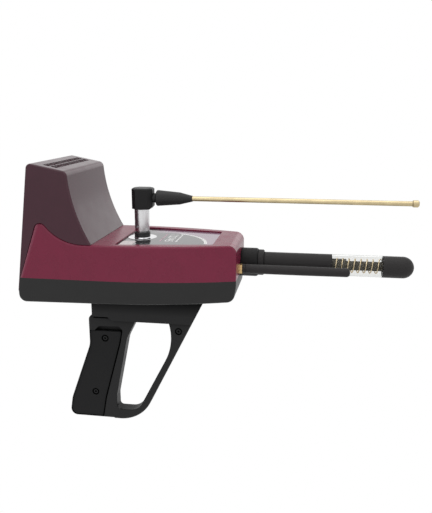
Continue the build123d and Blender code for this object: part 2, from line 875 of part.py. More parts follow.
# Four keys and the power key, each with a flange behind the wall
def key_cap(place, grow):
    """The outline of one key, grown for its flange."""
    with BuildSketch() as cap:
        with Locations(place):
            if place == power_place:
                Circle(power_radius + grow)
            else:
                SlotOverall(key_width + 2 * grow, key_height + 2 * grow)
    return cap.sketch


key_crown = 0.6          # bevel round a key's face
rear_axis = Axis(rear_plane().origin, rear_plane().z_dir)
keys = {"key_1": key_places[0], "key_2": key_places[1], "key_3": key_places[2], "key_4": key_places[3],
        "power_key": power_place}
for key_name, key_place in keys.items():
    with BuildPart() as key:
        with BuildSketch(rear_plane(rear_wall + key_rest)):
            add(key_cap(key_place, 0))
        extrude(amount=rear_wall + key_rest + key_proud)
        chamfer(key.faces().sort_by(rear_axis)[-1].edges(), key_crown)
        with BuildSketch(rear_plane(rear_wall + key_rest)):
            add(key_cap(key_place, key_flange))
        extrude(amount=-key_flange_depth)
    key.part.label = key_name
    export_step(key.part, f"parts/{key_name}.step")

# Mesh behind the speaker slots, and the speaker under it
speaker_rim = 3.0
magnet_radius = 8.5
with BuildPart() as grille_mesh:
    with BuildSketch(hood_top_plane(wall)):
        Rectangle(slot_rows * slot_pitch_x + mesh_margin, slot_columns * slot_pitch_y + mesh_margin)
    extrude(amount=-mesh_thickness)
grille_mesh.part.label = "grille_mesh"
export_step(grille_mesh.part, "parts/grille_mesh.step")

with BuildPart() as speaker:
    with BuildSketch(hood_top_plane(wall + mesh_thickness, speaker_ahead)):
        Circle(speaker_radius)
    extrude(amount=-speaker_rim)
    with BuildSketch(hood_top_plane(wall + mesh_thickness, speaker_ahead)):
        Circle(magnet_radius)
    extrude(amount=-speaker_depth)
speaker.part.label = "speaker"
export_step(speaker.part, "parts/speaker.step")

# Main board on its standoffs, with its larger blocks: place on the plan, length, width, height
board_z = floor_z + board_lift
board_blocks = [
    ((46.0, 10.0), 16.0, 16.0, 2.5),
    ((94.0, -8.0), 22.0, 12.0, 2.5),
    ((28.0, -22.0), 10.0, 18.0, 7.0),
]
with BuildPart() as main_board:
    with BuildSketch(Plane.XY.offset(board_z)):
        add(outline(board_corners, board_corner))
    extrude(amount=board_thickness)
    for place, length, width, height in board_blocks:
        with BuildSketch(Plane.XY.offset(board_z + board_thickness)):
            with Locations(place):
                Rectangle(length, width)
        extrude(amount=height)
main_board.part.label = "main_board"
export_step(main_board.part, "parts/main_board.step")

with BuildPart() as battery_pack:
    with BuildSketch(Plane.XY.offset(floor_z)):
        with Locations((battery_rear_x + battery_length / 2, 0)):
            RectangleRounded(battery_length, battery_width, battery_corner)
    extrude(amount=battery_height)
battery_pack.part.label = "battery_pack"
export_step(battery_pack.part, "parts/battery_pack.step")

# Charging socket in the left side, and its nut inside
jack_face_y = lower_half(jack_z + jack_flange_radius) + running_gap
jack_nut_radius = 6.0
jack_nut_height = 2.0
jack_nut_y = lower_half(jack_z - jack_nut_radius) - wall - running_gap
with BuildPart() as charge_jack:
    with BuildSketch(Plane.XZ.offset(-jack_face_y)):
        with Locations((jack_x, jack_z)):
            Circle(jack_flange_radius)
    extrude(amount=-jack_flange)
    with BuildSketch(Plane.XZ.offset(-jack_face_y)):
        with Locations((jack_x, jack_z)):
            Circle(jack_barrel_radius)
    extrude(amount=jack_depth - jack_flange + jack_end_wall)
    with BuildSketch(Plane.XZ.offset(-jack_face_y - jack_flange)):
        with Locations((jack_x, jack_z)):
            Circle(jack_radius)
    extrude(amount=jack_depth, mode=Mode.SUBTRACT)
charge_jack.part.label = "charge_jack"
export_step(charge_jack.part, "parts/charge_jack.step")

with BuildPart() as jack_nut:
    with BuildSketch(Plane.XZ.offset(-jack_nut_y)):
        with Locations((jack_x, jack_z)):
            RegularPolygon(jack_nut_radius, 6)
            Circle(jack_barrel_radius + running_gap, mode=Mode.SUBTRACT)
    extrude(amount=jack_nut_height)
jack_nut.part.label = "jack_nut"
export_step(jack_nut.part, "parts/jack_nut.step")

# Screws: shells from below, hood from inside the flat top, saddle from inside the floor
shaft_radius = screw_radius - running_gap
socket_radius = 1.4
socket_depth = 1.4
with BuildPart() as shell_screws:
    for place in shell_screw_places:
        seat_z = screw_seat_z(place[0])
        with BuildSketch(Plane.XY.offset(seat_z)):
            with Locations(place):
                Circle(screw_head_radius)
        extrude(amount=-screw_head_height)
        with BuildSketch(Plane.XY.offset(seat_z)):
            with Locations(place):
                Circle(shaft_radius)
        extrude(amount=split_z + screw_bite - seat_z)
        with BuildSketch(Plane.XY.offset(seat_z - screw_head_height)):
            with Locations(place):
                RegularPolygon(socket_radius, 6)
        extrude(amount=socket_depth, mode=Mode.SUBTRACT)
shell_screws.part.label = "shell_screws"
export_step(shell_screws.part, "parts/shell_screws.step")

with BuildPart() as hood_screws:
    with BuildSketch(Plane.XY.offset(top_z - top_wall)):
        with Locations(*hood_screw_places):
            Circle(screw_head_radius)
    extrude(amount=-screw_head_height)
    with BuildSketch(Plane.XY.offset(top_z - top_wall)):
        with Locations(*hood_screw_places):
            Circle(shaft_radius)
    extrude(amount=top_wall + hood_boss_height - hood_boss_roof - pilot_spare)
hood_screws.part.label = "hood_screws"
export_step(hood_screws.part, "parts/hood_screws.step")

with BuildPart() as saddle_screws:
    with BuildSketch(Plane.XY.offset(floor_z)):
        with Locations(*saddle_screw_places):
            Circle(screw_head_radius)
    extrude(amount=screw_head_height)
    with BuildSketch(Plane.XY.offset(floor_z)):
        with Locations(*saddle_screw_places):
            Circle(shaft_radius)
    extrude(amount=-floor_wall - saddle_screw_bite)
saddle_screws.part.label = "saddle_screws"
export_step(saddle_screws.part, "parts/saddle_screws.step")

# Dial plate on the floor of its recess
with BuildPart() as dial_plate:
    with BuildSketch(Plane.XY.offset(dial_face_z - dial_thickness)):
        add(outline(dial_corners, dial_corner))
        offset(amount=-fit_gap, mode=Mode.REPLACE)
        with Locations((swivel_x, 0)):
            Circle(collar_barrel_radius + hole_gap, mode=Mode.SUBTRACT)
    extrude(amount=dial_thickness)
dial_plate.part.label = "dial_plate"
export_step(dial_plate.part, "parts/dial_plate.step")

# Swivel: a fixed bush on a polished washer, and the post that turns in it
collar_seat_z = dial_face_z + washer_hub_height
collar_top_z = collar_seat_z + collar_height
post_foot_z = collar_top_z + washer_thickness + clip_play / 2
post_top_z = post_foot_z + post_height
barrel_foot_z = top_z - top_wall - bush_nut_height - barrel_spare
clip_z = barrel_foot_z - clip_play / 2
spindle_foot_z = clip_z - clip_thickness - spindle_spare
clip_groove_radius = spindle_radius - clip_groove_depth
swivel_plane = Plane(origin=(swivel_x, 0, 0), x_dir=(1, 0, 0), z_dir=(0, -1, 0))
swivel_axis = Axis((swivel_x, 0, 0), (0, 0, 1))

with BuildPart() as dial_washer:
    with BuildSketch(Plane.XY.offset(dial_face_z)):
        with Locations((swivel_x, 0)):
            Circle(dial_washer_radius)
            Circle(collar_barrel_radius + hole_gap, mode=Mode.SUBTRACT)
    extrude(amount=dial_washer_thickness)
    with BuildSketch(Plane.XY.offset(dial_face_z)):
        with Locations((swivel_x, 0)):
            Circle(washer_hub_radius)
            Circle(collar_barrel_radius + hole_gap, mode=Mode.SUBTRACT)
    extrude(amount=washer_hub_height)
dial_washer.part.label = "dial_washer"
export_step(dial_washer.part, "parts/dial_washer.step")

with BuildPart() as swivel_collar:
    with BuildSketch(swivel_plane):
        add(outline([
            (spindle_radius + running_gap, barrel_foot_z),
            (collar_barrel_radius, barrel_foot_z),
            (collar_barrel_radius, collar_seat_z),
            (collar_radius, collar_seat_z),
            (collar_radius, collar_top_z - collar_bevel),
            (collar_radius - collar_bevel, collar_top_z),
            (spindle_radius + running_gap, collar_top_z),
        ]))
    revolve(axis=swivel_axis)
swivel_collar.part.label = "swivel_collar"
export_step(swivel_collar.part, "parts/swivel_collar.step")

with BuildPart() as bush_nut:
    with BuildSketch(Plane.XY.offset(top_z - top_wall)):
        with Locations((swivel_x, 0)):
            RegularPolygon(bush_nut_radius, 6)
            Circle(collar_barrel_radius + running_gap, mode=Mode.SUBTRACT)
    extrude(amount=-bush_nut_height)
bush_nut.part.label = "bush_nut"
export_step(bush_nut.part, "parts/bush_nut.step")

with BuildPart() as thrust_washer:
    with BuildSketch(Plane.XY.offset(collar_top_z)):
        with Locations((swivel_x, 0)):
            Circle(washer_radius)
            Circle(spindle_radius + 2 * running_gap, mode=Mode.SUBTRACT)
    extrude(amount=washer_thickness)
thrust_washer.part.label = "thrust_washer"
export_step(thrust_washer.part, "parts/thrust_washer.step")

set_screw_plane = Plane(
    origin=(swivel_x, 0, post_foot_z + set_screw_rise),
    x_dir=(0, 0, 1),
    z_dir=(math.cos(math.radians(set_screw_turn)), math.sin(math.radians(set_screw_turn)), 0),
)
with BuildPart() as swivel_post:
    with BuildSketch(swivel_plane):
        add(outline([
            (0, spindle_foot_z),
            (spindle_radius - spindle_bevel, spindle_foot_z),
            (spindle_radius, spindle_foot_z + spindle_bevel),
            (spindle_radius, clip_z - clip_thickness),
            (clip_groove_radius, clip_z - clip_thickness),
            (clip_groove_radius, clip_z),
            (spindle_radius, clip_z),
            (spindle_radius, post_foot_z),
            (post_radius - post_bevel, post_foot_z),
            (post_radius, post_foot_z + post_bevel),
            (post_radius, post_foot_z + post_groove - groove_width / 2),
            (post_radius - groove_depth, post_foot_z + post_groove - groove_width / 2),
            (post_radius - groove_depth, post_foot_z + post_groove + groove_width / 2),
            (post_radius, post_foot_z + post_groove + groove_width / 2),
            (post_radius, post_top_z - post_bevel),
            (post_radius - post_bevel, post_top_z),
            (spigot_radius, post_top_z),
            (spigot_radius, post_top_z + spigot_height),
            (0, post_top_z + spigot_height),
        ]))
    revolve(axis=swivel_axis)
    with BuildSketch(set_screw_plane.offset(set_screw_seat)):
        Circle(set_screw_radius + running_gap)
    extrude(amount=post_radius, mode=Mode.SUBTRACT)
swivel_post.part.label = "swivel_post"
export_step(swivel_post.part, "parts/swivel_post.step")

with BuildPart() as retaining_clip:
    with BuildSketch(Plane.XY.offset(clip_z)):
        with Locations((swivel_x, 0)):
            Circle(clip_outer)
            Circle(clip_groove_radius + running_gap, mode=Mode.SUBTRACT)
        with Locations((swivel_x - clip_outer / 2, 0)):
            Rectangle(clip_outer, clip_mouth, mode=Mode.SUBTRACT)
    extrude(amount=-clip_thickness)
retaining_clip.part.label = "retaining_clip"
export_step(retaining_clip.part, "parts/retaining_clip.step")

with BuildPart() as post_set_screw:
    with BuildSketch(set_screw_plane.offset(set_screw_seat)):
        Circle(set_screw_radius)
    extrude(amount=post_radius - set_screw_seat - set_screw_sink)
    with BuildSketch(set_screw_plane.offset(post_radius - set_screw_sink)):
        RegularPolygon(set_screw_socket, 6)
    extrude(amount=-set_screw_socket_depth, mode=Mode.SUBTRACT)
post_set_screw.part.label = "post_set_screw"
export_step(post_set_screw.part, "parts/post_set_screw.step")

# Elbow head, boot and telescopic whip
head_front_x = swivel_x + head_length - head_rear
head_middle_x = swivel_x + head_length / 2 - head_rear
boot_rear_x = head_front_x + neck_length
boot_tip_x = boot_rear_x + boot_length
tube_rear_x = head_front_x - whip_seat
tube_front_x = swivel_x + whip_reach
mid_radius = whip_radius - whip_wall - running_gap
inner_radius = mid_radius - whip_wall - running_gap
tip_rear_x = tube_front_x + tip_gap
tip_front_x = tip_rear_x + tip_length
mid_rear_x = tube_rear_x + whip_step
inner_rear_x = mid_rear_x + whip_step
whip_plane = Plane(origin=(0, 0, whip_z), x_dir=(1, 0, 0), z_dir=(0, -1, 0))
whip_axis = Axis((0, 0, whip_z), (1, 0, 0))

with BuildPart() as elbow_head:
    with BuildSketch(Plane.XY.offset(post_top_z)):
        with Locations((head_middle_x, 0)):
            Rectangle(head_length, 2 * head_half)
    extrude(amount=head_height)
    chamfer(elbow_head.edges().filter_by(Axis.Z), head_corner)
    chamfer(elbow_head.faces().sort_by(Axis.Z)[-1].edges(), head_edge)
    with BuildSketch(Plane.XZ.offset(-2 * head_half)):
        add(outline([
            (head_front_x - head_foot_bevel - past, post_top_z - past),
            (head_front_x + past, post_top_z - past),
            (head_front_x + past, post_top_z + head_foot_bevel + past),
        ]))
    extrude(amount=4 * head_half, mode=Mode.SUBTRACT)
    with BuildSketch(Plane.XY.offset(post_top_z)):
        with Locations((swivel_x, 0)):
            Circle(spigot_radius + running_gap)
    extrude(amount=spigot_height + hole_gap, mode=Mode.SUBTRACT)
    with BuildSketch(Plane.YZ.offset(head_front_x)):
        with Locations((0, whip_z)):
            Circle(whip_radius + running_gap)
    extrude(amount=-whip_seat, mode=Mode.SUBTRACT)
elbow_head.part.label = "elbow_head"
export_step(elbow_head.part, "parts/elbow_head.step")

with BuildPart() as whip_boot:
    with BuildSketch(whip_plane):
        add(outline([
            (head_front_x, whip_radius + running_gap),
            (boot_tip_x, whip_radius + running_gap),
            (boot_tip_x, boot_tip_radius),
            (boot_rear_x + boot_shoulder, boot_shoulder_radius),
            (boot_rear_x + boot_bevel, boot_radius),
            (boot_rear_x, boot_radius - boot_bevel),
            (boot_rear_x, neck_radius),
            (head_front_x, neck_radius),
        ]))
    revolve(axis=whip_axis)
whip_boot.part.label = "whip_boot"
export_step(whip_boot.part, "parts/whip_boot.step")

with BuildPart() as whip_tube:
    with BuildSketch(Plane.YZ.offset(tube_rear_x)):
        with Locations((0, whip_z)):
            Circle(whip_radius)
            Circle(whip_radius - whip_wall, mode=Mode.SUBTRACT)
    extrude(amount=tube_front_x - tube_rear_x)
whip_tube.part.label = "whip_tube"
export_step(whip_tube.part, "parts/whip_tube.step")

with BuildPart() as whip_mid:
    with BuildSketch(Plane.YZ.offset(mid_rear_x)):
        with Locations((0, whip_z)):
            Circle(mid_radius)
            Circle(mid_radius - whip_wall, mode=Mode.SUBTRACT)
    extrude(amount=tube_front_x - mid_rear_x)
whip_mid.part.label = "whip_mid"
export_step(whip_mid.part, "parts/whip_mid.step")

with BuildPart() as whip_inner:
    with BuildSketch(Plane.YZ.offset(inner_rear_x)):
        with Locations((0, whip_z)):
            Circle(inner_radius)
    extrude(amount=tip_rear_x + tip_bore - inner_rear_x)
whip_inner.part.label = "whip_inner"
export_step(whip_inner.part, "parts/whip_inner.step")

with BuildPart() as whip_tip:
    with BuildSketch(whip_plane):
        add(outline([
            (tip_rear_x, inner_radius + running_gap),
            (tip_rear_x + tip_bore, inner_radius + running_gap),
            (tip_rear_x + tip_bore, 0),
            (tip_front_x, 0),
            (tip_front_x, tip_radius - tip_nose_bevel),
            (tip_front_x - tip_nose_bevel, tip_radius),
            (tip_rear_x + tip_heel_bevel, tip_radius),
            (tip_rear_x, tip_radius - tip_heel_bevel),
        ]))
    revolve(axis=whip_axis)
whip_tip.part.label = "whip_tip"
export_step(whip_tip.part, "parts/whip_tip.step")

# Windowed probe at the nose
probe_plane = Plane(origin=(0, probe_y, probe_z), x_dir=(1, 0, 0), z_dir=(0, -1, 0))
probe_axis = Axis((0, probe_y, probe_z), (1, 0, 0))
collar_front_x = nose_x + collar_length
ring_front_x = collar_front_x + ring_length
tube_seat_x = nose_x + collar_floor
window_rear_x = nose_x + tube_reach
window_front_x = window_rear_x + window_length
probe_end_x = window_front_x + tip_reach
spigot_rear_x = nose_x - wall - probe_nut_height - probe_spigot_spare
tube_bore = probe_outer - probe_wall
lead_passage = 2.0

with BuildPart() as probe_collar:
    with BuildSketch(probe_plane):
        with BuildLine():
            Polyline(
                (spigot_rear_x, lead_passage),
                (tube_seat_x, lead_passage),
                (tube_seat_x, probe_outer + running_gap),
                (collar_front_x, probe_outer + running_gap),
                (collar_front_x, collar_outer - collar_nose),
            )
            TangentArc(
                (collar_front_x, collar_outer - collar_nose),
                (collar_front_x - collar_nose, collar_outer),
                tangent=(0, 1),
            )
            Polyline(
                (collar_front_x - collar_nose, collar_outer),
                (nose_x, collar_outer),
                (nose_x, probe_spigot),
                (spigot_rear_x, probe_spigot),
                (spigot_rear_x, lead_passage),
            )
        make_face()
    revolve(axis=probe_axis)
probe_collar.part.label = "probe_collar"
export_step(probe_collar.part, "parts/probe_collar.step")

with BuildPart() as probe_nut:
    with BuildSketch(Plane.YZ.offset(nose_x - wall)):
        with Locations((probe_y, probe_z)):
            RegularPolygon(probe_nut_flats / 2, 6, major_radius=False)
            Circle(probe_spigot + running_gap, mode=Mode.SUBTRACT)
    extrude(amount=-probe_nut_height)
probe_nut.part.label = "probe_nut"
export_step(probe_nut.part, "parts/probe_nut.step")

with BuildPart() as probe_ring:
    with BuildSketch(probe_plane):
        add(outline([
            (collar_front_x, probe_outer + running_gap),
            (ring_front_x, probe_outer + running_gap),
            (ring_front_x, ring_outer - ring_bevel),
            (ring_front_x - ring_bevel, ring_outer),
            (collar_front_x, ring_outer),
        ]))
    revolve(axis=probe_axis)
probe_ring.part.label = "probe_ring"
export_step(probe_ring.part, "parts/probe_ring.step")

# Where the winding's wire runs, round the core
lead_angle = math.radians(coil_lead_angle)
lead_y = probe_y + coil_radius * math.cos(lead_angle)
lead_z = probe_z + coil_radius * math.sin(lead_angle)
coil_bend = 2.4          # length of the bend between a straight end and the winding
coil_straight = 1.3      # straight end inside the window
wire_gap = 0.15

with BuildPart() as probe_tube:
    with BuildSketch(probe_plane):
        add(outline([
            (tube_seat_x, tube_bore),
            (window_rear_x - bulkhead, tube_bore),
            (window_rear_x - bulkhead, core_radius + running_gap),
            (window_rear_x, core_radius + running_gap),
            (window_rear_x, probe_outer),
            (tube_seat_x, probe_outer),
        ]))
    revolve(axis=probe_axis)
    with BuildSketch(Plane.YZ.offset(window_rear_x)):
        with Locations((lead_y, lead_z)):
            Circle(coil_wire_diameter / 2 + wire_gap)
    extrude(amount=-bulkhead, mode=Mode.SUBTRACT)
probe_tube.part.label = "probe_tube"
export_step(probe_tube.part, "parts/probe_tube.step")

with BuildPart() as probe_window:
    with BuildSketch(Plane.YZ.offset(window_rear_x)):
        with Locations((probe_y, probe_z)):
            Circle(probe_outer)
            Circle(probe_outer - window_wall, mode=Mode.SUBTRACT)
    extrude(amount=window_length)
probe_window.part.label = "probe_window"
export_step(probe_window.part, "parts/probe_window.step")

with BuildPart() as probe_tip:
    with BuildSketch(probe_plane):
        with BuildLine():
            Polyline(
                (probe_end_x, 0),
                (window_front_x + core_seat, 0),
                (window_front_x + core_seat, core_radius + running_gap),
                (window_front_x, core_radius + running_gap),
                (window_front_x, probe_outer),
                (probe_end_x - probe_outer, probe_outer),
            )
            TangentArc((probe_end_x - probe_outer, probe_outer), (probe_end_x, 0), tangent=(1, 0))
        make_face()
    revolve(axis=probe_axis)
probe_tip.part.label = "probe_tip"
export_step(probe_tip.part, "parts/probe_tip.step")

with BuildPart() as coil_core:
    with BuildSketch(Plane.YZ.offset(window_rear_x - bulkhead)):
        with Locations((probe_y, probe_z)):
            Circle(core_radius)
    extrude(amount=bulkhead + window_length + core_seat)
coil_core.part.label = "coil_core"
export_step(coil_core.part, "parts/coil_core.step")

with BuildPart() as coil_sleeve:
    with BuildSketch(Plane.YZ.offset(window_rear_x)):
        with Locations((probe_y, probe_z)):
            Circle(sleeve_radius)
            Circle(core_radius + running_gap, mode=Mode.SUBTRACT)
    extrude(amount=sleeve_length)
coil_sleeve.part.label = "coil_sleeve"
export_step(coil_sleeve.part, "parts/coil_sleeve.step")

# Winding: one left-handed wire with a straight end at either side, each quarter turn two arcs
winding_rear_x = window_rear_x + coil_straight + coil_bend
winding_front_x = window_front_x - coil_straight - coil_bend
coil_pitch = (winding_front_x - winding_rear_x) / coil_turns
bend_angle = coil_bend / coil_radius


def coil_point(turn):
    """A point on the winding, counted in turns from its rear end."""
    angle = lead_angle - bend_angle - 2 * math.pi * turn
    return Vector(
        winding_rear_x + coil_pitch * turn,
        probe_y + coil_radius * math.cos(angle),
        probe_z + coil_radius * math.sin(angle),
    )


def coil_heading(turn):
    """The direction of the winding at that point."""
    angle = lead_angle - bend_angle - 2 * math.pi * turn
    round_it = 2 * math.pi * coil_radius
    return Vector(coil_pitch, round_it * math.sin(angle), -round_it * math.cos(angle)).normalized()


def two_arcs(start, heading, end, end_heading):
    """The meeting point and the heading there of two arcs that join two headings."""
    span = end - start
    both = heading + end_heading
    closeness = 2 * (1 - heading.dot(end_heading))
    along = span.dot(both)
    reach = (math.sqrt(along**2 + closeness * span.dot(span)) - along) / closeness
    first = start + heading * reach
    second = end - end_heading * reach
    return (first + second) * 0.5, (second - first).normalized()


last_angle = lead_angle - 2 * bend_angle - 2 * math.pi * coil_turns
forward = Vector(1, 0, 0)
stations = [(Vector(window_rear_x + coil_straight, lead_y, lead_z), forward)]
quarter_turns = round(4 * coil_turns)
for quarter in range(quarter_turns + 1):
    stations.append((coil_point(quarter / 4), coil_heading(quarter / 4)))
stations.append((
    Vector(
        window_front_x - coil_straight,
        probe_y + coil_radius * math.cos(last_angle),
        probe_z + coil_radius * math.sin(last_angle),
    ),
    forward,
))
wire_ends = (
    Vector(tube_seat_x, lead_y, lead_z),
    Vector(window_front_x, stations[-1][0].Y, stations[-1][0].Z),
)

with BuildPart() as coil_wire:
    with BuildLine() as coil_path:
        Line(wire_ends[0], stations[0][0])
        for (start, heading), (end, end_heading) in zip(stations, stations[1:]):
            middle, middle_heading = two_arcs(start, heading, end, end_heading)
            TangentArc(start, middle, tangent=heading)
            TangentArc(middle, end, tangent=middle_heading)
        Line(stations[-1][0], wire_ends[1])
    with BuildSketch(Plane.YZ.offset(tube_seat_x)):
        with Locations((lead_y, lead_z)):
            Circle(coil_wire_diameter / 2)
    sweep(path=coil_path.wires()[0])
coil_wire.part.label = "coil_wire"
export_step(coil_wire.part, "parts/coil_wire.step")

# Least gap of the wire to itself, on points along it that are more than half a turn apart
wire = coil_path.wires()[0]
wire_steps = 600
wire_points = [wire.position_at(step / wire_steps) for step in range(wire_steps + 1)]
apart = math.ceil(math.pi * coil_radius / wire.length * wire_steps)
least = min(
    (wire_points[a] - wire_points[b]).length
    for a in range(wire_steps + 1)
    for b in range(a + apart, wire_steps + 1)
)
print("least gap of the winding to itself", round(least - coil_wire_diameter, 2), "mm")

# Stick antenna on its connector
stick_plane = Plane(origin=(0, stick_y, probe_z), x_dir=(1, 0, 0), z_dir=(0, -1, 0))
stick_axis = Axis((0, stick_y, probe_z), (1, 0, 0))
sma_front_x = nose_x + sma_length
ferrule_front_x = sma_front_x + ferrule_length
stick_end_x = ferrule_front_x + stick_length
sma_rear_x = nose_x - wall - sma_nut_height - sma_tail

with BuildPart() as sma_jack:
    with BuildSketch(Plane.YZ.offset(nose_x)):
        with Locations((stick_y, probe_z)):
            RegularPolygon(sma_flats / 2, 6, major_radius=False)
    extrude(amount=sma_length)
    with BuildSketch(Plane.YZ.offset(sma_rear_x)):
        with Locations((stick_y, probe_z)):
            Circle(sma_thread)
    extrude(amount=ferrule_front_x - sma_tip_gap - sma_rear_x)
sma_jack.part.label = "sma_jack"
export_step(sma_jack.part, "parts/sma_jack.step")

with BuildPart() as sma_nut:
    with BuildSketch(Plane.YZ.offset(nose_x - wall)):
        with Locations((stick_y, probe_z)):
            RegularPolygon(sma_flats / 2, 6, major_radius=False)
            Circle(sma_thread + running_gap, mode=Mode.SUBTRACT)
    extrude(amount=-sma_nut_height)
sma_nut.part.label = "sma_nut"
export_step(sma_nut.part, "parts/sma_nut.step")

with BuildPart() as stick_ferrule:
    with BuildSketch(stick_plane):
        add(outline([
            (sma_front_x, sma_thread + running_gap),
            (ferrule_front_x, sma_thread + running_gap),
            (ferrule_front_x, ferrule_radius - ferrule_bevel),
            (ferrule_front_x - ferrule_bevel, ferrule_radius),
            (sma_front_x + ferrule_bevel, ferrule_radius),
            (sma_front_x, ferrule_radius - ferrule_bevel),
        ]))
    revolve(axis=stick_axis)
stick_ferrule.part.label = "stick_ferrule"
export_step(stick_ferrule.part, "parts/stick_ferrule.step")

stick_corners = [
    (ferrule_front_x, 0),
    (stick_end_x, 0),
    (stick_end_x, stick_tip_radius),
    (ferrule_front_x + stick_straight, stick_radius),
    (ferrule_front_x, stick_radius),
]
with BuildPart() as stick_body:
    with BuildSketch(stick_plane):
        add(outline(stick_corners))
        fillet(vertices().sort_by_distance(stick_corners[2])[0], stick_end_round)
    revolve(axis=stick_axis)
stick_body.part.label = "stick_body"
export_step(stick_body.part, "parts/stick_body.step")

# Grip, guard and saddle in one moulding
guard_slope = math.tan(math.radians(guard_lean))
grip_top_z = base_z - heel_lug_depth
saddle_foot_z = base_z - saddle_depth
slab_top_z = base_z - slab_top_drop
saddle_top_z = base_z + chin_rise
guard_foot_z = grip_base_z - guard_foot_drop


def guard_front_x(z):
    """The front line of the guard at a height."""
    return saddle_front_x - (base_z - z) * guard_slope


def handle_outline():
    """Side outline of the handle, running on into the guard's foot."""
    shoulder = (grip_rear_x, grip_top_z)
    waist = (grip_rear_x, grip_waist_z)
    heel = (grip_heel_x, grip_base_z)
    with BuildSketch() as handle:
        add(outline([
            (opening_roof_rear_x, slab_top_z),
            (saddle_rear_x + slab_rear_inset, slab_top_z),
            (saddle_rear_x + slab_rear_inset, grip_top_z),
            shoulder,
            waist,
            grip_swell,
            heel,
            (guard_foot_x + 2 * handle_edge_round, grip_base_z),
        ]))
        fillet(vertices().sort_by_distance(shoulder)[0], grip_shoulder_round)
        fillet(vertices().sort_by_distance(waist)[0], grip_waist_round)
        fillet(vertices().sort_by_distance(grip_swell)[0], grip_swell_round)
        fillet(vertices().sort_by_distance(heel)[0], grip_heel_round)
    return handle.sketch


def guard_outline():
    """Side outline of the guard before the finger opening is cut."""
    toe = (guard_front_x(guard_foot_z), guard_foot_z)
    with BuildSketch() as guard:
        add(outline([
            (guard_front_x(slab_top_z), slab_top_z),
            (guard_foot_x, slab_top_z),
            (guard_foot_x, guard_foot_z),
            toe,
        ]))
        fillet(vertices().sort_by_distance(toe)[0], guard_foot_radius)
    return guard.sketch


def opening_outline():
    """Side outline of the finger opening."""
    rear_floor = (opening_floor_rear_x, opening_floor_z)
    front_floor = (opening_floor_front_x, opening_floor_z)
    rear_roof = (opening_roof_rear_x, saddle_foot_z)
    front_roof = (opening_roof_front_x, saddle_foot_z)
    front_bend = (guard_front_x(opening_bend_z) - guard_wall, opening_bend_z)
    guard_heading = (front_bend[0] - front_floor[0], front_bend[1] - front_floor[1])
    with BuildSketch() as opening:
        with BuildLine():
            Polyline(rear_roof, finger_rest, finger_foot, rear_floor, front_floor, front_bend)
            TangentArc(front_bend, front_roof, tangent=guard_heading)
            Line(front_roof, rear_roof)
        make_face()
        fillet(vertices().sort_by_distance(rear_floor)[0], opening_rear_round)
        fillet(vertices().sort_by_distance(front_floor)[0], opening_front_round)
        fillet(vertices().sort_by_distance(finger_rest)[0], finger_rest_round)
        fillet(vertices().sort_by_distance(finger_foot)[0], finger_foot_round)
    return opening.sketch


# Corners of a panel's pocket and of the panel, running past the handle, with the round at each
pocket_corners = [
    (-60.0, 40.7), (-60.0, -80.0), (-2.9, -80.0), (4.2, -41.0), (23.2, 27.0), (26.1, 42.5), (21.5, 46.8),
    (-1.5, 46.0), (-6.8, 40.7),
]
pocket_rounds = [0.0, 0.0, 0.0, 60.0, 40.0, 3.0, 3.0, 3.0, 0.0]
panel_corners = [
    (-60.0, 41.7), (-60.0, -80.0), (-2.9, -80.0), (4.2, -41.0), (23.2, 27.0), (26.0, 41.7),
]
panel_rounds = [0.0, 0.0, 0.0, 60.0, 40.0, 2.2]


def inset_corners(corners, gap):
    """The corners of an outline that runs anticlockwise, moved in by a gap all round."""
    moved = []
    for before, here, after in zip(corners[-1:] + corners[:-1], corners, corners[1:] + corners[:1]):
        ahead = Vector(after[0] - here[0], after[1] - here[1]).normalized()
        behind = Vector(here[0] - before[0], here[1] - before[1]).normalized()
        inward = Vector(-ahead.Y - behind.Y, ahead.X + behind.X) * (gap / (1 + ahead.dot(behind)))
        moved.append((here[0] + inward.X, here[1] + inward.Y))
    return moved


def handle_inside(inset):
    """The handle's side outline, moved in all round."""
    with BuildSketch() as inside:
        add(handle_outline())
        offset(amount=-inset, mode=Mode.REPLACE)
    return inside.sketch


def within_handle(corners, rounds, inset):
    """An outline with its own round at each corner, kept that far inside the handle."""
    with BuildSketch() as shape:
        add(outline(corners))
        for corner, radius in zip(corners, rounds):
            if radius > 0:
                fillet(vertices().sort_by_distance(corner)[0], radius)
        add(handle_inside(inset), mode=Mode.INTERSECT)
    return shape.sketch


def pocket_outline():
    """Side outline of the pocket that takes a grip panel."""
    return within_handle(pocket_corners, pocket_rounds, panel_rim)


def panel_outline():
    """Side outline of a grip panel: a gap inside its pocket, and lower at its top."""
    return within_handle(inset_corners(panel_corners, panel_gap), panel_rounds, panel_rim + fit_gap)


def edges_along(part, sketch, below_z, half=grip_half):
    """The edges on two flat sides, that far out, that follow an outline below a height."""
    chosen = ShapeList()
    for edge in part.edges():
        box = edge.bounding_box()
        middle = edge.position_at(0.5)
        on_side = box.size.Y < same and abs(abs(box.min.Y) - half) < same
        if on_side and middle.Z < below_z:
            mark = Vertex(middle.X, middle.Z, 0)
            if min(mark.distance_to(line) for line in sketch.edges()) < same:
                chosen.append(edge)
    return chosen


def pocket_edges(face):
    """The edges of a panel's face along the open gap, which the handle's rim doesn't border."""
    at_rim = edges_along(face, handle_inside(panel_rim + fit_gap), top_z, panel_face)
    return [edge for edge in face.edges() if edge.center() not in [rim.center() for rim in at_rim]]


panel_screw_places = [(4.7, 31.3), (-9.5, -35.0)]
guard_screw_place = (89.8, 44.8)
panel_face = grip_half - panel_inset
panel_floor = panel_face - panel_thickness

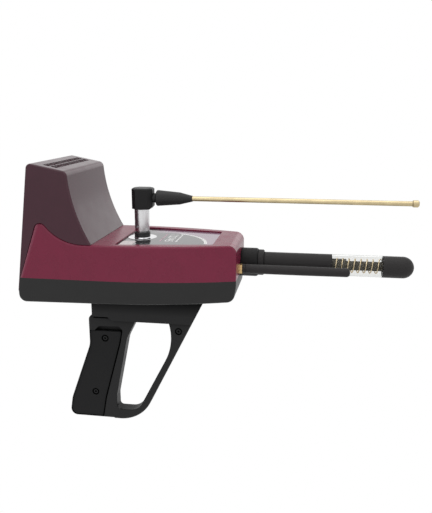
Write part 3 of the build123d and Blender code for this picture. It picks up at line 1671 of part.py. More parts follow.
with BuildPart() as handle:
    with BuildSketch(Plane.XZ.offset(-grip_half)):
        add(handle_outline())
    extrude(amount=2 * grip_half)
    handle_edges = edges_along(handle.part, handle_outline(), grip_top_z + same)
    fillet([edge for edge in handle_edges if edge.center().X < guard_foot_x], handle_edge_round)

with BuildPart() as guard:
    with BuildSketch(Plane.XZ.offset(-grip_half)):
        add(guard_outline())
    extrude(amount=2 * grip_half)
    guard_edges = edges_along(guard.part, guard_outline(), slab_top_z - same)
    fillet([edge for edge in guard_edges if edge.center().X > guard_foot_x + same], guard_edge_round)

with BuildPart() as grip_frame:
    add(handle.part)
    add(guard.part)
    with BuildSketch(side_plane):
        add(opening_outline())
    extrude(amount=across, mode=Mode.SUBTRACT)
    opening_edges = edges_along(grip_frame.part, opening_outline(), saddle_foot_z - same)
    fillet(opening_edges, opening_edge_round)
    # saddle, cut off along the underside of the lower shell
    with BuildSketch(Plane.XZ.offset(-saddle_half)):
        add(outline([
            (guard_front_x(saddle_top_z), saddle_top_z),
            (saddle_rear_x, saddle_top_z),
            (saddle_rear_x, grip_top_z),
            (saddle_rear_x + heel_lug_length, grip_top_z),
            (saddle_rear_x + heel_lug_length + heel_lug_slope, saddle_foot_z),
            (guard_front_x(saddle_foot_z), saddle_foot_z),
        ]))
    extrude(amount=2 * saddle_half)
    with BuildSketch(side_plane):
        add(outline([
            (nose_x, split_z),
            (rear_x(base_z), split_z),
            (rear_x(base_z), under_z(rear_x(base_z))),
            (nose_x, under_z(nose_x)),
        ]))
    extrude(amount=across, mode=Mode.SUBTRACT)
    # groove under the rear of the saddle, pockets for the panels, wells and pilot holes for the screws
    for side in (-1, 1):
        with BuildSketch(Plane.XZ.offset(-side * grip_half)):
            add(outline([
                (saddle_rear_x + heel_lug_length, grip_top_z),
                (saddle_rear_x, grip_top_z),
                (saddle_rear_x, grip_top_z - lug_gap),
                (saddle_rear_x + heel_lug_length, grip_top_z - lug_gap),
            ]))
        extrude(amount=side * lug_gap_depth, mode=Mode.SUBTRACT)
        with BuildSketch(Plane.XZ.offset(-side * grip_half)):
            add(pocket_outline())
        extrude(amount=side * (panel_inset + panel_thickness), mode=Mode.SUBTRACT)
        with BuildSketch(Plane.XZ.offset(-side * grip_half)):
            with Locations(guard_screw_place):
                Circle(grip_screw_well)
        extrude(amount=side * grip_screw_sink, mode=Mode.SUBTRACT)
        with BuildSketch(Plane.XZ.offset(-side * (grip_half - grip_screw_sink))):
            with Locations(guard_screw_place):
                Circle(screw_radius)
        extrude(amount=side * (grip_screw_reach + hole_gap), mode=Mode.SUBTRACT)
        with BuildSketch(Plane.XZ.offset(-side * panel_floor)):
            with Locations(*panel_screw_places):
                Circle(screw_radius)
        extrude(amount=side * panel_floor, mode=Mode.SUBTRACT)
    # pilot holes for the screws from the lower shell
    with BuildSketch(Plane.XY.offset(saddle_top_z)):
        with Locations(*saddle_screw_places):
            Circle(screw_radius)
    extrude(amount=-chin_rise - saddle_screw_bite - pilot_spare, mode=Mode.SUBTRACT)
grip_frame.part.label = "grip_frame"
export_step(grip_frame.part, "parts/grip_frame.step")

with BuildPart() as grip_panel_right:
    with BuildSketch(Plane.XZ.offset(panel_floor)):
        add(panel_outline())
    extrude(amount=panel_thickness)
    chamfer(pocket_edges(grip_panel_right.faces().sort_by(Axis.Y)[0]), panel_edge_bevel)
    with BuildSketch(Plane.XZ.offset(panel_face)):
        with Locations(*panel_screw_places):
            Circle(grip_screw_well)
    extrude(amount=-grip_screw_sink, mode=Mode.SUBTRACT)
    with BuildSketch(Plane.XZ.offset(panel_face)):
        with Locations(*panel_screw_places):
            Circle(screw_radius + hole_gap)
    extrude(amount=-panel_thickness, mode=Mode.SUBTRACT)
grip_panel_right.part.label = "grip_panel_right"
export_step(grip_panel_right.part, "parts/grip_panel_right.step")

with BuildPart() as grip_panel_left:
    with BuildSketch(Plane.XZ.offset(-panel_face)):
        add(panel_outline())
    extrude(amount=panel_thickness)
    chamfer(pocket_edges(grip_panel_left.faces().sort_by(Axis.Y)[-1]), panel_edge_bevel)
    with BuildSketch(Plane.XZ.offset(-panel_face)):
        with Locations(*panel_screw_places):
            Circle(grip_screw_well)
    extrude(amount=grip_screw_sink, mode=Mode.SUBTRACT)
    with BuildSketch(Plane.XZ.offset(-panel_face)):
        with Locations(*panel_screw_places):
            Circle(screw_radius + hole_gap)
    extrude(amount=panel_thickness, mode=Mode.SUBTRACT)
grip_panel_left.part.label = "grip_panel_left"
export_step(grip_panel_left.part, "parts/grip_panel_left.step")

# Six like screws: two in each panel and one on each side of the guard
screw_seats = [(place, panel_face - grip_screw_sink) for place in panel_screw_places]
screw_seats.append((guard_screw_place, grip_half - grip_screw_sink))
with BuildPart() as grip_screws:
    for side in (-1, 1):
        for place, seat in screw_seats:
            with BuildSketch(Plane.XZ.offset(-side * seat)):
                with Locations(place):
                    Circle(grip_screw_head)
            extrude(amount=-side * grip_screw_head_height)
            with BuildSketch(Plane.XZ.offset(-side * seat)):
                with Locations(place):
                    Circle(shaft_radius)
            extrude(amount=side * grip_screw_reach)
            with BuildSketch(Plane.XZ.offset(-side * (seat + grip_screw_head_height))):
                with Locations(place):
                    RegularPolygon(socket_radius, 6)
            extrude(amount=side * socket_depth, mode=Mode.SUBTRACT)
grip_screws.part.label = "grip_screws"
export_step(grip_screws.part, "parts/grip_screws.step")
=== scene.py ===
"""Looks of a hand-held gemstone detector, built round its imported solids.

Metres, in the solids' own frame: the origin is the middle of the grip, +X points forward along
the probes, +Y to the user's left and +Z up.
"""
import bmesh
import bpy
import json
import math
from mathutils import Matrix, Vector


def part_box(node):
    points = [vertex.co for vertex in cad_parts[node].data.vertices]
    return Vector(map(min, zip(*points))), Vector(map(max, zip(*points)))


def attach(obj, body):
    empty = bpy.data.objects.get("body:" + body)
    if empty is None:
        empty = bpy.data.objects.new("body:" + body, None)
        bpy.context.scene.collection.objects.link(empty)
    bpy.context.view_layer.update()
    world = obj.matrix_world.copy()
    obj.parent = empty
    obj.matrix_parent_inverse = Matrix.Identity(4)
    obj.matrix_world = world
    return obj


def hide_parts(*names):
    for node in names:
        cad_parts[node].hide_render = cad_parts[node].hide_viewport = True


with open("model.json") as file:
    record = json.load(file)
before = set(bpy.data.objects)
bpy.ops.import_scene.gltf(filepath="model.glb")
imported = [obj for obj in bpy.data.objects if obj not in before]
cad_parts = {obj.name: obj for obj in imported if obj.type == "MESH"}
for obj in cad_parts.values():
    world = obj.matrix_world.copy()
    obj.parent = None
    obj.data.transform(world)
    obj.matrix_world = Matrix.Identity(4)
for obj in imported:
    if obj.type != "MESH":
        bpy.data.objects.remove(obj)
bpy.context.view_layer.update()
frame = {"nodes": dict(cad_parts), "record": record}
nodes = frame["nodes"]
mm = 0.001
user_right = Vector((0.0, -1.0, 0.0))

# Camera, fitted to the straight edges of the object
camera_place = Vector((0.2274, -0.6204, 0.2843))
camera_azimuth = 8.889       # degrees to the front of a square view of the right side
camera_elevation = 13.846    # degrees above the horizon
camera_lens = 42.51
camera_sensor = 36.0         # along the picture's long side

# Moulded surfaces
mottle_size = 14.0 * mm
edge_radius = 0.7 * mm       # edges tighter than this are rubbed, and on the maroon also lit by a painted highlight
grain_depth = 0.004 * mm
wave_size = 3.5 * mm
wave_depth = 0.006 * mm

# Rear line of the cheeks, which leans forward as it rises, with a highlight painted behind it
cheek_slant = 0.361
cheek_line = -106.0 * mm     # where it would meet the level of the origin
cheek_fade = 3.0 * mm
painted_highlight_lift = 3.0             # how many times lighter the painted highlight is inside the seam

# Heights between which a painted shadow darkens the saddle of the grip towards the housing
saddle_painted_shadow = (63.0 * mm, 78.0 * mm)

# Dial: the plain arc's circle on the plate, and where the paler front beyond it starts and is full
arc_centre = (70.3 * mm, -27.3 * mm)
arc_radius = 52.7 * mm
arc_fade = 0.5 * mm
front_start = 52.0 * mm
front_full = 70.0 * mm

# Stage
floor_z = -0.36
floor_half = 30.0
floor_colour = (0.92, 0.92, 0.92)
open_light = 0.5             # what the white surroundings give to matt surfaces
shadow_centre = (0.1, -0.05)  # under the object, where the floor keeps its shadow
shadow_near = 0.12           # from here on the floor grows whiter
shadow_far = 0.3             # from here on the floor is as white as the surroundings
shadow_white = 0.7           # share of plain white over the floor in the middle of the shadow

# Lamps: name, place, the point that it looks at, side in metres and watts
lamps = (
    ("top_lamp", (0.1, -0.1, 1.5), (0.08, 0.0, 0.1), 1.6, 12.0),
    ("front_lamp", (1.5, -0.6, 0.7), (0.1, 0.0, 0.15), 1.2, 2.0),
    ("side_lamp", (-0.1, -1.7, 0.75), (0.08, 0.0, 0.1), 1.4, 4.0),
    ("rim_lamp", (0.78, 2.77, 0.98), (0.0, 0.0, 0.2), 1.3, 3.4),
)


def tone(colour, factor=1.0):
    """A linear colour, lighter or darker by a factor, as the four numbers that a socket takes."""
    return (*[min(1.0, channel * factor) for channel in colour], 1.0)


class Paint:
    """A material's node tree: its principled shader, and short calls for the nodes used here."""

    def __init__(self, name, **uniform):
        self.material = bpy.data.materials.new(name)
        self.material.use_nodes = True
        self.tree = self.material.node_tree
        self.shader = self.tree.nodes["Principled BSDF"]
        self.output = self.tree.nodes["Material Output"]
        self.place = self.node("ShaderNodeTexCoord").outputs["Object"]
        for socket, value in uniform.items():
            self.shader.inputs[socket.replace("_", " ")].default_value = value

    def node(self, kind, **settings):
        """A new node with its settings."""
        made = self.tree.nodes.new(kind)
        for setting, value in settings.items():
            setattr(made, setting, value)
        return made

    def feed(self, socket, value):
        """Sets a socket to a number or a colour, or links it to another socket."""
        if isinstance(value, bpy.types.NodeSocket):
            self.tree.links.new(value, socket)
        else:
            socket.default_value = value

    def shade(self, socket, value):
        """Feeds one of the shader's own sockets."""
        self.feed(self.shader.inputs[socket], value)

    def noise(self, size, detail=2.0, stretch=(1.0, 1.0, 1.0)):
        """Cloudy noise from 0 to 1 with patches of that size, drawn out along an axis by stretch."""
        mapping = self.node("ShaderNodeMapping")
        mapping.inputs["Scale"].default_value = [1.0 / (size * s) for s in stretch]
        self.feed(mapping.inputs["Vector"], self.place)
        noise = self.node("ShaderNodeTexNoise")
        noise.inputs["Scale"].default_value = 1.0
        noise.inputs["Detail"].default_value = detail
        self.feed(noise.inputs["Vector"], mapping.outputs["Vector"])
        return noise.outputs["Fac"]

    def cells(self, size):
        """Distance to the nearest of a scatter of points, in cells of that size."""
        cells = self.node("ShaderNodeTexVoronoi")
        cells.inputs["Scale"].default_value = 1.0 / size
        self.feed(cells.inputs["Vector"], self.place)
        return cells.outputs["Distance"]

    def bricks(self, size, joint, offset, colours, place):
        """A grid of bricks of that size in two colours, with joints in a third."""
        grid = self.node("ShaderNodeTexBrick", offset=offset)
        grid.inputs["Scale"].default_value = 1.0 / size
        grid.inputs["Mortar Size"].default_value = joint
        for socket, colour in zip(("Color1", "Color2", "Mortar"), colours):
            grid.inputs[socket].default_value = tone(colour)
        self.feed(grid.inputs["Vector"], place)
        return grid

    def coordinate(self, axis):
        """How far along X, Y or Z the surface lies."""
        split = self.node("ShaderNodeSeparateXYZ")
        self.feed(split.inputs["Vector"], self.place)
        return split.outputs[axis]

    def away(self, centre):
        """Distance on the level from a point given by its x and y."""
        level = self.node("ShaderNodeVectorMath", operation="MULTIPLY")
        self.feed(level.inputs[0], self.place)
        level.inputs[1].default_value = (1.0, 1.0, 0.0)
        apart = self.node("ShaderNodeVectorMath", operation="DISTANCE")
        self.feed(apart.inputs[0], level.outputs["Vector"])
        apart.inputs[1].default_value = (*centre, 0.0)
        return apart.outputs["Value"]

    def spread(self, value, low, high, from_low=0.3, from_high=0.7, curve="LINEAR"):
        """Maps a value onto a range, clamped."""
        span = self.node("ShaderNodeMapRange", interpolation_type=curve)
        span.inputs["From Min"].default_value = from_low
        span.inputs["From Max"].default_value = from_high
        span.inputs["To Min"].default_value = low
        span.inputs["To Max"].default_value = high
        self.feed(span.inputs["Value"], value)
        return span.outputs["Result"]

    def blend(self, share, first, second):
        """A colour between two colours."""
        mix = self.node("ShaderNodeMix", data_type="RGBA")
        self.feed(mix.inputs["Factor"], share)
        colours = [s for s in mix.inputs if s.type == "RGBA"]
        self.feed(colours[0], first)
        self.feed(colours[1], second)
        return [s for s in mix.outputs if s.type == "RGBA"][0]

    def patchy(self, noise, colour, low, high):
        """A colour that a noise takes from one factor of itself to another."""
        return self.blend(self.spread(noise, 0.0, 1.0), tone(colour, low), tone(colour, high))

    def sums(self, operation, first, second):
        """One sum on two numbers."""
        maths = self.node("ShaderNodeMath", operation=operation)
        self.feed(maths.inputs[0], first)
        self.feed(maths.inputs[1], second)
        return maths.outputs[0]

    def relief(self, *layers):
        """Bump from pairs of a height socket and a depth in metres, one over the other."""
        normal = None
        for height, depth in layers:
            bump = self.node("ShaderNodeBump")
            bump.inputs["Distance"].default_value = depth
            self.feed(bump.inputs["Height"], height)
            if normal is not None:
                self.feed(bump.inputs["Normal"], normal)
            normal = bump.outputs["Normal"]
        self.shade("Normal", normal)

    def painted_shade_mask(self, reach):
        """A mask for painted shade, 1 deep in slots and seams and 0 on open faces."""
        shade_mask = self.node("ShaderNodeAmbientOcclusion", samples=6)
        shade_mask.inputs["Distance"].default_value = reach
        return self.spread(shade_mask.outputs["AO"], 1.0, 0.0, from_low=0.4, from_high=0.95)

    def edges(self, radius):
        """A mask that is 1 on edges tighter than a radius and 0 on the flat."""
        soft = self.node("ShaderNodeBevel", samples=4)
        soft.inputs["Radius"].default_value = radius
        flat = self.node("ShaderNodeNewGeometry")
        dot = self.node("ShaderNodeVectorMath", operation="DOT_PRODUCT")
        self.feed(dot.inputs[0], soft.outputs["Normal"])
        self.feed(dot.inputs[1], flat.outputs["Normal"])
        return self.spread(dot.outputs["Value"], 1.0, 0.0, from_low=0.90, from_high=0.995)

    def behind_cheek(self):
        """A mask that is 1 behind the slanted rear line of the cheeks and 0 ahead of it, where a highlight
        is painted.
        """
        along = self.node("ShaderNodeVectorMath", operation="DOT_PRODUCT")
        self.feed(along.inputs[0], self.place)
        along.inputs[1].default_value = (1.0, 0.0, -cheek_slant)
        return self.spread(along.outputs["Value"], 1.0, 0.0, cheek_line, cheek_line + cheek_fade)

    def cover(self, share, other):
        """Lets another shader take over from the principled one by a share."""
        mix = self.node("ShaderNodeMixShader")
        self.feed(mix.inputs[0], share)
        self.feed(mix.inputs[1], self.shader.outputs[0])
        self.feed(mix.inputs[2], other.outputs[0])
        self.feed(self.output.inputs["Surface"], mix.outputs[0])


def moulded(name, colour, roughness, specular=0.3, grain=0.45 * mm, wear_and_highlight=1.25, painted_shade=0.25,
            reach=2.5 * mm, painted_highlight=None, shade=None):
    """Moulded plastic or rubber: a fine grain, slow mottling, rubbed edges and painted shade in recesses.

    The edge factor is the tone of rubbed edges, which on the maroon are pale enough to stand as painted
    highlights on rounded edges. The factor for recesses is the tone of painted shade in slots and seams,
    on both colour and gloss. A cheek colour is a painted highlight behind the rear line of the cheeks,
    lighter still inside the seam. A pair of heights is where the painted shade takes over, as a painted
    shadow there.
    """
    paint = Paint(name)
    slow = paint.noise(mottle_size, detail=3.0)
    fine = paint.noise(grain)
    cloud = paint.patchy(slow, colour, 0.95, 1.05)
    speck = paint.blend(paint.spread(fine, 0.0, 0.35), cloud, tone(colour, 1.12))
    # Rubbed edges, paler; on the maroon they are pale enough to stand as painted highlights too
    rubbed = paint.sums("MULTIPLY", paint.edges(edge_radius), paint.spread(slow, 0.15, 0.6))
    worn_and_lit = paint.blend(rubbed, speck, tone(colour, wear_and_highlight))
    deep = tone(colour, painted_shade)
    # Painted shade: a mask of slots and seams, widened by a painted shadow between a pair of heights
    shade_mask = paint.painted_shade_mask(reach)
    if shade is not None:
        low, high = shade
        shade_mask = paint.sums("MAXIMUM", shade_mask, paint.spread(paint.coordinate("Z"), 0.0, 1.0, low, high))
    # A painted highlight behind the cheeks' rear line, lighter still inside the seam
    if painted_highlight is not None:
        rear = paint.behind_cheek()
        worn_and_lit = paint.blend(rear, worn_and_lit, tone(painted_highlight))
        deep = paint.blend(rear, deep, tone(painted_highlight, painted_highlight_lift))
    paint.shade("Base Color", paint.blend(shade_mask, worn_and_lit, deep))
    # The painted shade also dims the gloss in slots and seams
    paint.shade("Specular IOR Level", paint.spread(shade_mask, specular, specular * painted_shade, 0.0, 1.0))
    paint.shade("Roughness", paint.spread(slow, roughness - 0.04, roughness + 0.04))
    paint.relief((fine, grain_depth), (paint.noise(wave_size), wave_depth))
    return paint.material


def dull_black(name, colour, specular):
    """The dull black plastic and rubber of the probes and the pointer's boot."""
    return moulded(name, colour, 0.5, specular=specular, grain=0.3 * mm)


def metal(name, colour, roughness, along=(1.0, 1.0, 1.0)):
    """Plated or drawn metal: hair lines drawn out along an axis, and faint dull patches."""
    paint = Paint(name, Metallic=1.0)
    lines = paint.noise(0.12 * mm, stretch=along)
    patches = paint.noise(9 * mm, detail=4.0)
    paint.shade("Base Color", paint.patchy(patches, colour, 0.85, 1.0))
    streak = paint.spread(lines, roughness * 0.75, roughness * 1.25)
    paint.shade("Roughness", paint.sums("ADD", streak, paint.spread(patches, 0.05, 0.0)))
    paint.relief((lines, 0.001 * mm))
    return paint.material


def clear(name, colour, murk, bending):
    """Clear acrylic with faint smears, greyer the more of it is seen through.

    Murk is how fast it greys and bending its refractive index. Light falls straight through it.
    """
    paint = Paint(name, Transmission_Weight=1.0, IOR=bending)
    smears = paint.noise(5 * mm, detail=5.0, stretch=(4.0, 1.0, 1.0))
    paint.shade("Base Color", paint.patchy(smears, colour, 0.98, 1.0))
    paint.shade("Roughness", paint.spread(smears, 0.0, 0.005, from_low=0.5, from_high=0.8))
    paint.relief((paint.noise(12 * mm), 0.001 * mm))
    depth = paint.node("ShaderNodeVolumeAbsorption")
    depth.inputs["Color"].default_value = (0.5, 0.52, 0.5, 1.0)
    depth.inputs["Density"].default_value = murk
    paint.feed(paint.output.inputs["Volume"], depth.outputs["Volume"])
    rays = paint.node("ShaderNodeLightPath")
    lighting = paint.sums("MAXIMUM", rays.outputs["Is Shadow Ray"], rays.outputs["Is Diffuse Ray"])
    through = paint.node("ShaderNodeBsdfTransparent")
    through.inputs["Color"].default_value = tone(colour, 0.97)
    paint.cover(lighting, through)
    return paint.material


def gloss_plate(name, colour, front_colour):
    """A plate under gloss lacquer, paler at the front beyond the arc, with dust and faint waves."""
    paint = Paint(name, IOR=2.1)
    dust = paint.cells(2.2 * mm)
    haze = paint.noise(20 * mm, detail=3.0)
    beyond = paint.spread(paint.away(arc_centre), 0.0, 1.0, arc_radius, arc_radius + arc_fade)
    ahead = paint.spread(paint.coordinate("X"), 0.0, 1.0, front_start, front_full)
    front = paint.sums("MULTIPLY", beyond, ahead)
    ground = paint.blend(front, tone(colour), tone(front_colour))
    base = paint.blend(paint.spread(haze, 0.0, 0.12), ground, tone(colour, 2.0))
    specks = paint.spread(dust, 0.25, 0.0, from_low=0.03, from_high=0.06)
    paint.shade("Base Color", paint.blend(specks, base, (0.35, 0.35, 0.36, 1.0)))
    paint.shade("Roughness", paint.spread(haze, 0.06, 0.14))
    paint.relief((haze, 0.02 * mm))
    return paint.material


def ink(name, colour):
    """Screen-printed ink: a matt layer of uneven tone."""
    paint = Paint(name, Specular_IOR_Level=0.4)
    fine = paint.noise(0.5 * mm, detail=3.0)
    paint.shade("Base Color", paint.patchy(fine, colour, 0.86, 1.0))
    paint.shade("Roughness", paint.spread(fine, 0.35, 0.5))
    paint.relief((fine, 0.004 * mm))
    return paint.material


def board(name):
    """A circuit board: green solder mask with paler tracks under it."""
    paint = Paint(name, Specular_IOR_Level=0.45, Roughness=0.32)
    greens = ((0.012, 0.1, 0.035), (0.016, 0.12, 0.045), (0.03, 0.2, 0.08))
    tracks = paint.bricks(4 * mm, 0.06, 0.3, greens, paint.place)
    paint.shade("Base Color", tracks.outputs["Color"])
    paint.relief((tracks.outputs["Fac"], 0.03 * mm), (paint.noise(0.8 * mm), 0.005 * mm))
    return paint.material


def screen_face(name):
    """The face of an unlit display: a pale grey-green polariser over a fine grid of cells."""
    paint = Paint(name, Specular_IOR_Level=0.4)
    turned = paint.node("ShaderNodeMapping")
    turned.inputs["Rotation"].default_value = (math.radians(90), 0.0, math.radians(90))
    paint.feed(turned.inputs["Vector"], paint.place)
    greys = ((0.21, 0.255, 0.2), (0.22, 0.265, 0.21), (0.18, 0.22, 0.17))
    grid = paint.bricks(1.2 * mm, 0.04, 0.0, greys, turned.outputs["Vector"])
    haze = paint.noise(18 * mm)
    clouded = paint.blend(paint.spread(haze, 0.0, 0.25), grid.outputs["Color"], (0.15, 0.2, 0.15, 1.0))
    paint.shade("Base Color", clouded)
    paint.shade("Roughness", paint.spread(haze, 0.22, 0.3))
    paint.relief((paint.noise(0.3 * mm), 0.002 * mm))
    return paint.material


# Linear colours
maroon = (0.175, 0.013, 0.042)
maroon_painted_highlight = (0.235, 0.065, 0.1)
charcoal = (0.017, 0.017, 0.017)
plum = (0.048, 0.0092, 0.0198)
steel = (0.62, 0.62, 0.63)
brass = (0.52, 0.43, 0.26)
copper = (0.66, 0.54, 0.35)
gold = (0.62, 0.43, 0.2)

# One paint for each slot of the record
paints = {
    # The maroon's pale edges and the colour behind its cheeks are painted highlights; its painted shade is
    # light
    "maroon_shell": moulded("maroon_plastic", maroon, 0.28, specular=0.28, wear_and_highlight=1.7, painted_shade=0.8,
                            painted_highlight=maroon_painted_highlight),
    "dark_shell": moulded("dark_plastic", charcoal, 0.42, specular=0.25),
    "hood_plastic": moulded("plum_plastic", plum, 0.22, specular=0.35, painted_shade=0.85),
    "fascia_film": moulded("fascia_film", (0.026, 0.026, 0.028), 0.38, specular=0.35,
                           grain=0.25 * mm, wear_and_highlight=1.1),
    "clear_window": clear("window_acrylic", (0.97, 0.98, 0.97), 20.0, 1.49),
    "display_face": screen_face("display_face"),
    "key_rubber": moulded("key_rubber", (0.1, 0.1, 0.105), 0.6, grain=0.2 * mm, wear_and_highlight=1.4),
    "power_rubber": moulded("power_rubber", (0.3, 0.035, 0.04), 0.55, grain=0.2 * mm, wear_and_highlight=1.3),
    "circuit_board": board("circuit_board"),
    "speaker_frame": moulded("speaker_frame", (0.05, 0.05, 0.05), 0.45),
    "grille_steel": metal("blackened_mesh", (0.08, 0.075, 0.075), 0.4),
    "dial_face": gloss_plate("dial_plate", (0.037, 0.036, 0.039), (0.27, 0.175, 0.245)),
    "battery_wrap": moulded("battery_wrap", (0.05, 0.08, 0.2), 0.3, specular=0.45),
    "zinc_screw": metal("zinc_screw", (0.55, 0.55, 0.56), 0.3),
    "black_screw": moulded("black_screw", (0.009, 0.009, 0.0095), 0.45, specular=0.2,
                           grain=0.15 * mm, wear_and_highlight=2.0),
    "jack_metal": metal("nickel", (0.55, 0.53, 0.5), 0.25),
    "washer_chrome": metal("polished_washer", (0.86, 0.86, 0.87), 0.06),
    "bush_black": moulded("bush_black", (0.017, 0.017, 0.018), 0.4, grain=0.2 * mm, wear_and_highlight=1.6),
    "bright_steel": metal("bright_steel", steel, 0.22),
    "post_chrome": metal("polished_post", (0.67, 0.67, 0.68), 0.24, along=(1.0, 1.0, 0.15)),
    "head_black": moulded("head_black", (0.011, 0.011, 0.0115), 0.4, specular=0.17,
                          grain=0.25 * mm, wear_and_highlight=1.8),
    "boot_rubber": dull_black("boot_rubber", (0.02, 0.02, 0.0205), 0.22),
    "whip_brass": metal("drawn_brass", brass, 0.24, along=(40.0, 1.0, 1.0)),
    "probe_black": dull_black("probe_black", (0.0188, 0.0174, 0.0176), 0.16),
    "probe_clear": clear("probe_acrylic", (0.97, 0.97, 0.965), 100.0, 1.1),
    "core_dark": moulded("core_rod", (0.1, 0.093, 0.078), 0.7, specular=0.15,
                         grain=0.6 * mm, painted_shade=1.0),
    "sleeve_dark": moulded("core_sleeve", (0.095, 0.089, 0.075), 0.7, specular=0.15,
                           grain=0.6 * mm, painted_shade=1.0),
    "coil_copper": metal("enamelled_copper", copper, 0.4),
    "probe_steel": metal("zinc_nut", (0.5, 0.5, 0.51), 0.3),
    "sma_gold": metal("gold_plate", gold, 0.2),
    "stick_black": dull_black("stick_black", (0.0245, 0.0225, 0.0228), 0.16),
    # The grip's painted shade reaches far round the saddle's step, and a painted shadow darkens the saddle
    # under the housing
    "grip_black": moulded("grip_black", (0.013, 0.013, 0.0135), 0.45, specular=0.22,
                          grain=0.6 * mm, reach=14 * mm, shade=saddle_painted_shadow),
    # The panel's painted shade darkens the gap round it
    "panel_black": moulded("panel_black", (0.009, 0.009, 0.0095), 0.5, specular=0.17,
                           grain=0.5 * mm, reach=6 * mm),
}

# Nodes whose black differs from the others in their slot
own_paints = {
    "probe_tip": dull_black("tip_black", (0.0255, 0.024, 0.0242), 0.16),
    "probe_collar": dull_black("collar_black", (0.0115, 0.0112, 0.0114), 0.12),
}
for subpart in frame["record"]["subparts"]:
    node = subpart["node"]
    nodes[node].data.materials[0] = own_paints.get(node, paints[subpart["material_slot"]])

white_print = ink("white_print", (0.85, 0.85, 0.84))
rose_print = ink("rose_print", (0.62, 0.4, 0.47))
pale_print = ink("pale_print", (0.66, 0.6, 0.6))
grey_print = ink("grey_print", (0.3, 0.3, 0.31))


def piece(name, mesh_or_bm, material, body):
    """Links a mesh as a piece of the object that rides on a body."""
    if isinstance(mesh_or_bm, bmesh.types.BMesh):
        mesh = bpy.data.meshes.new(name)
        bmesh.ops.recalc_face_normals(mesh_or_bm, faces=mesh_or_bm.faces)
        mesh_or_bm.to_mesh(mesh)
        mesh_or_bm.free()
    else:
        mesh = mesh_or_bm
    made = bpy.data.objects.new(name, mesh)
    bpy.context.scene.collection.objects.link(made)
    mesh.materials.clear()
    mesh.materials.append(material)
    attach(made, body)
    return made


def smooth(made):
    """Shades a piece smoothly all over."""
    for polygon in made.data.polygons:
        polygon.use_smooth = True


def add_tube(bm, path, radius, sides):
    """Adds a closed round tube that follows a path, its rings carried along without twist."""
    rings = []
    across = None
    for i, point in enumerate(path):
        ahead = path[min(i + 1, len(path) - 1)]
        behind = path[max(i - 1, 0)]
        along = (ahead - behind).normalized()
        if across is None:
            across = along.orthogonal().normalized()
        across = (across - along * across.dot(along)).normalized()
        other = along.cross(across)
        ring = []
        for k in range(sides):
            turn = 2 * math.pi * k / sides
            outwards = math.cos(turn) * across + math.sin(turn) * other
            ring.append(bm.verts.new(point + radius * outwards))
        rings.append(ring)
    for first, second in zip(rings, rings[1:]):
        for k in range(sides):
            after = (k + 1) % sides
            bm.faces.new((first[k], first[after], second[after], second[k]))
    bm.faces.new(list(reversed(rings[0])))
    bm.faces.new(rings[-1])


def add_slab(bm, outline, place, thickness):
    """Adds a closed slab: an outline in a plane's own x and y, raised along its z."""
    foot = [bm.verts.new(place @ Vector((x, y, 0.0))) for x, y in outline]
    head = [bm.verts.new(place @ Vector((x, y, thickness))) for x, y in outline]
    count = len(outline)
    bm.faces.new(list(reversed(foot)))
    bm.faces.new(head)
    for i in range(count):
        j = (i + 1) % count
        bm.faces.new((foot[i], foot[j], head[j], head[i]))


def add_frame(bm, outer, inner, place, thickness):
    """Adds a closed frame between two outlines with as many points each."""
    count = len(outer)
    levels = []
    for outline in (outer, inner):
        for height in (0.0, thickness):
            levels.append([bm.verts.new(place @ Vector((x, y, height))) for x, y in outline])
    outer_foot, outer_head, inner_foot, inner_head = levels
    for i in range(count):
        j = (i + 1) % count
        bm.faces.new((outer_foot[i], outer_foot[j], outer_head[j], outer_head[i]))
        bm.faces.new((inner_head[i], inner_head[j], inner_foot[j], inner_foot[i]))
        bm.faces.new((outer_head[i], outer_head[j], inner_head[j], inner_head[i]))
        bm.faces.new((inner_foot[i], inner_foot[j], outer_foot[j], outer_foot[i]))


def arc_band(radius, width, start, end, steps=48, cap_steps=8):
    """The outline of a band along an arc with round ends, angles in degrees from the plane's x."""
    outline = []
    heading = 1 if end > start else -1
    for side in (0.5, -0.5):
        for i in range(steps + 1):
            share = i / steps if side > 0 else 1 - i / steps
            angle = math.radians(start + (end - start) * share)
            reach = radius + side * width
            outline.append((reach * math.cos(angle), reach * math.sin(angle)))
        last = math.radians(end if side > 0 else start)
        for i in range(1, cap_steps):
            turn = math.pi * i / cap_steps
            reach = radius + side * width * math.cos(turn)
            swing = (heading if side > 0 else -heading) * width / 2 * math.sin(turn) / radius
            outline.append((reach * math.cos(last + swing), reach * math.sin(last + swing)))
    return outline


def bar(x0, y0, x1, y1):
    """The outline of a straight-sided bar."""
    return [(x0, y0), (x1, y0), (x1, y1), (x0, y1)]


def rounded(x0, y0, x1, y1, radius, steps=6):
    """The outline of a bar with rounded corners."""
    outline = []
    for cx, cy, first in ((x1 - radius, y1 - radius, 0), (x0 + radius, y1 - radius, 90),
                          (x0 + radius, y0 + radius, 180), (x1 - radius, y0 + radius, 270)):
        for i in range(steps + 1):
            angle = math.radians(first + 90 * i / steps)
            outline.append((cx + radius * math.cos(angle), cy + radius * math.sin(angle)))
    return outline


def number_mesh(name, text, size, boldness, place, thickness):
    """Plain figures in the built-in font as a mesh, middle on the place's origin."""
    curve = bpy.data.curves.new(name, "FONT")
    curve.body = text
    curve.size = size
    curve.align_x = "CENTER"
    curve.align_y = "CENTER"
    curve.extrude = thickness / 2
    curve.offset = size * boldness
    curve.resolution_u = 4
    shaper = bpy.data.objects.new(name + "_shaper", curve)
    bpy.context.scene.collection.objects.link(shaper)
    bpy.context.view_layer.update()
    shaped = shaper.evaluated_get(bpy.context.evaluated_depsgraph_get())
    mesh = bpy.data.meshes.new_from_object(shaped)
    bpy.data.objects.remove(shaper)
    mesh.transform(place @ Matrix.Translation((0.0, 0.0, thickness / 2)))
    return mesh


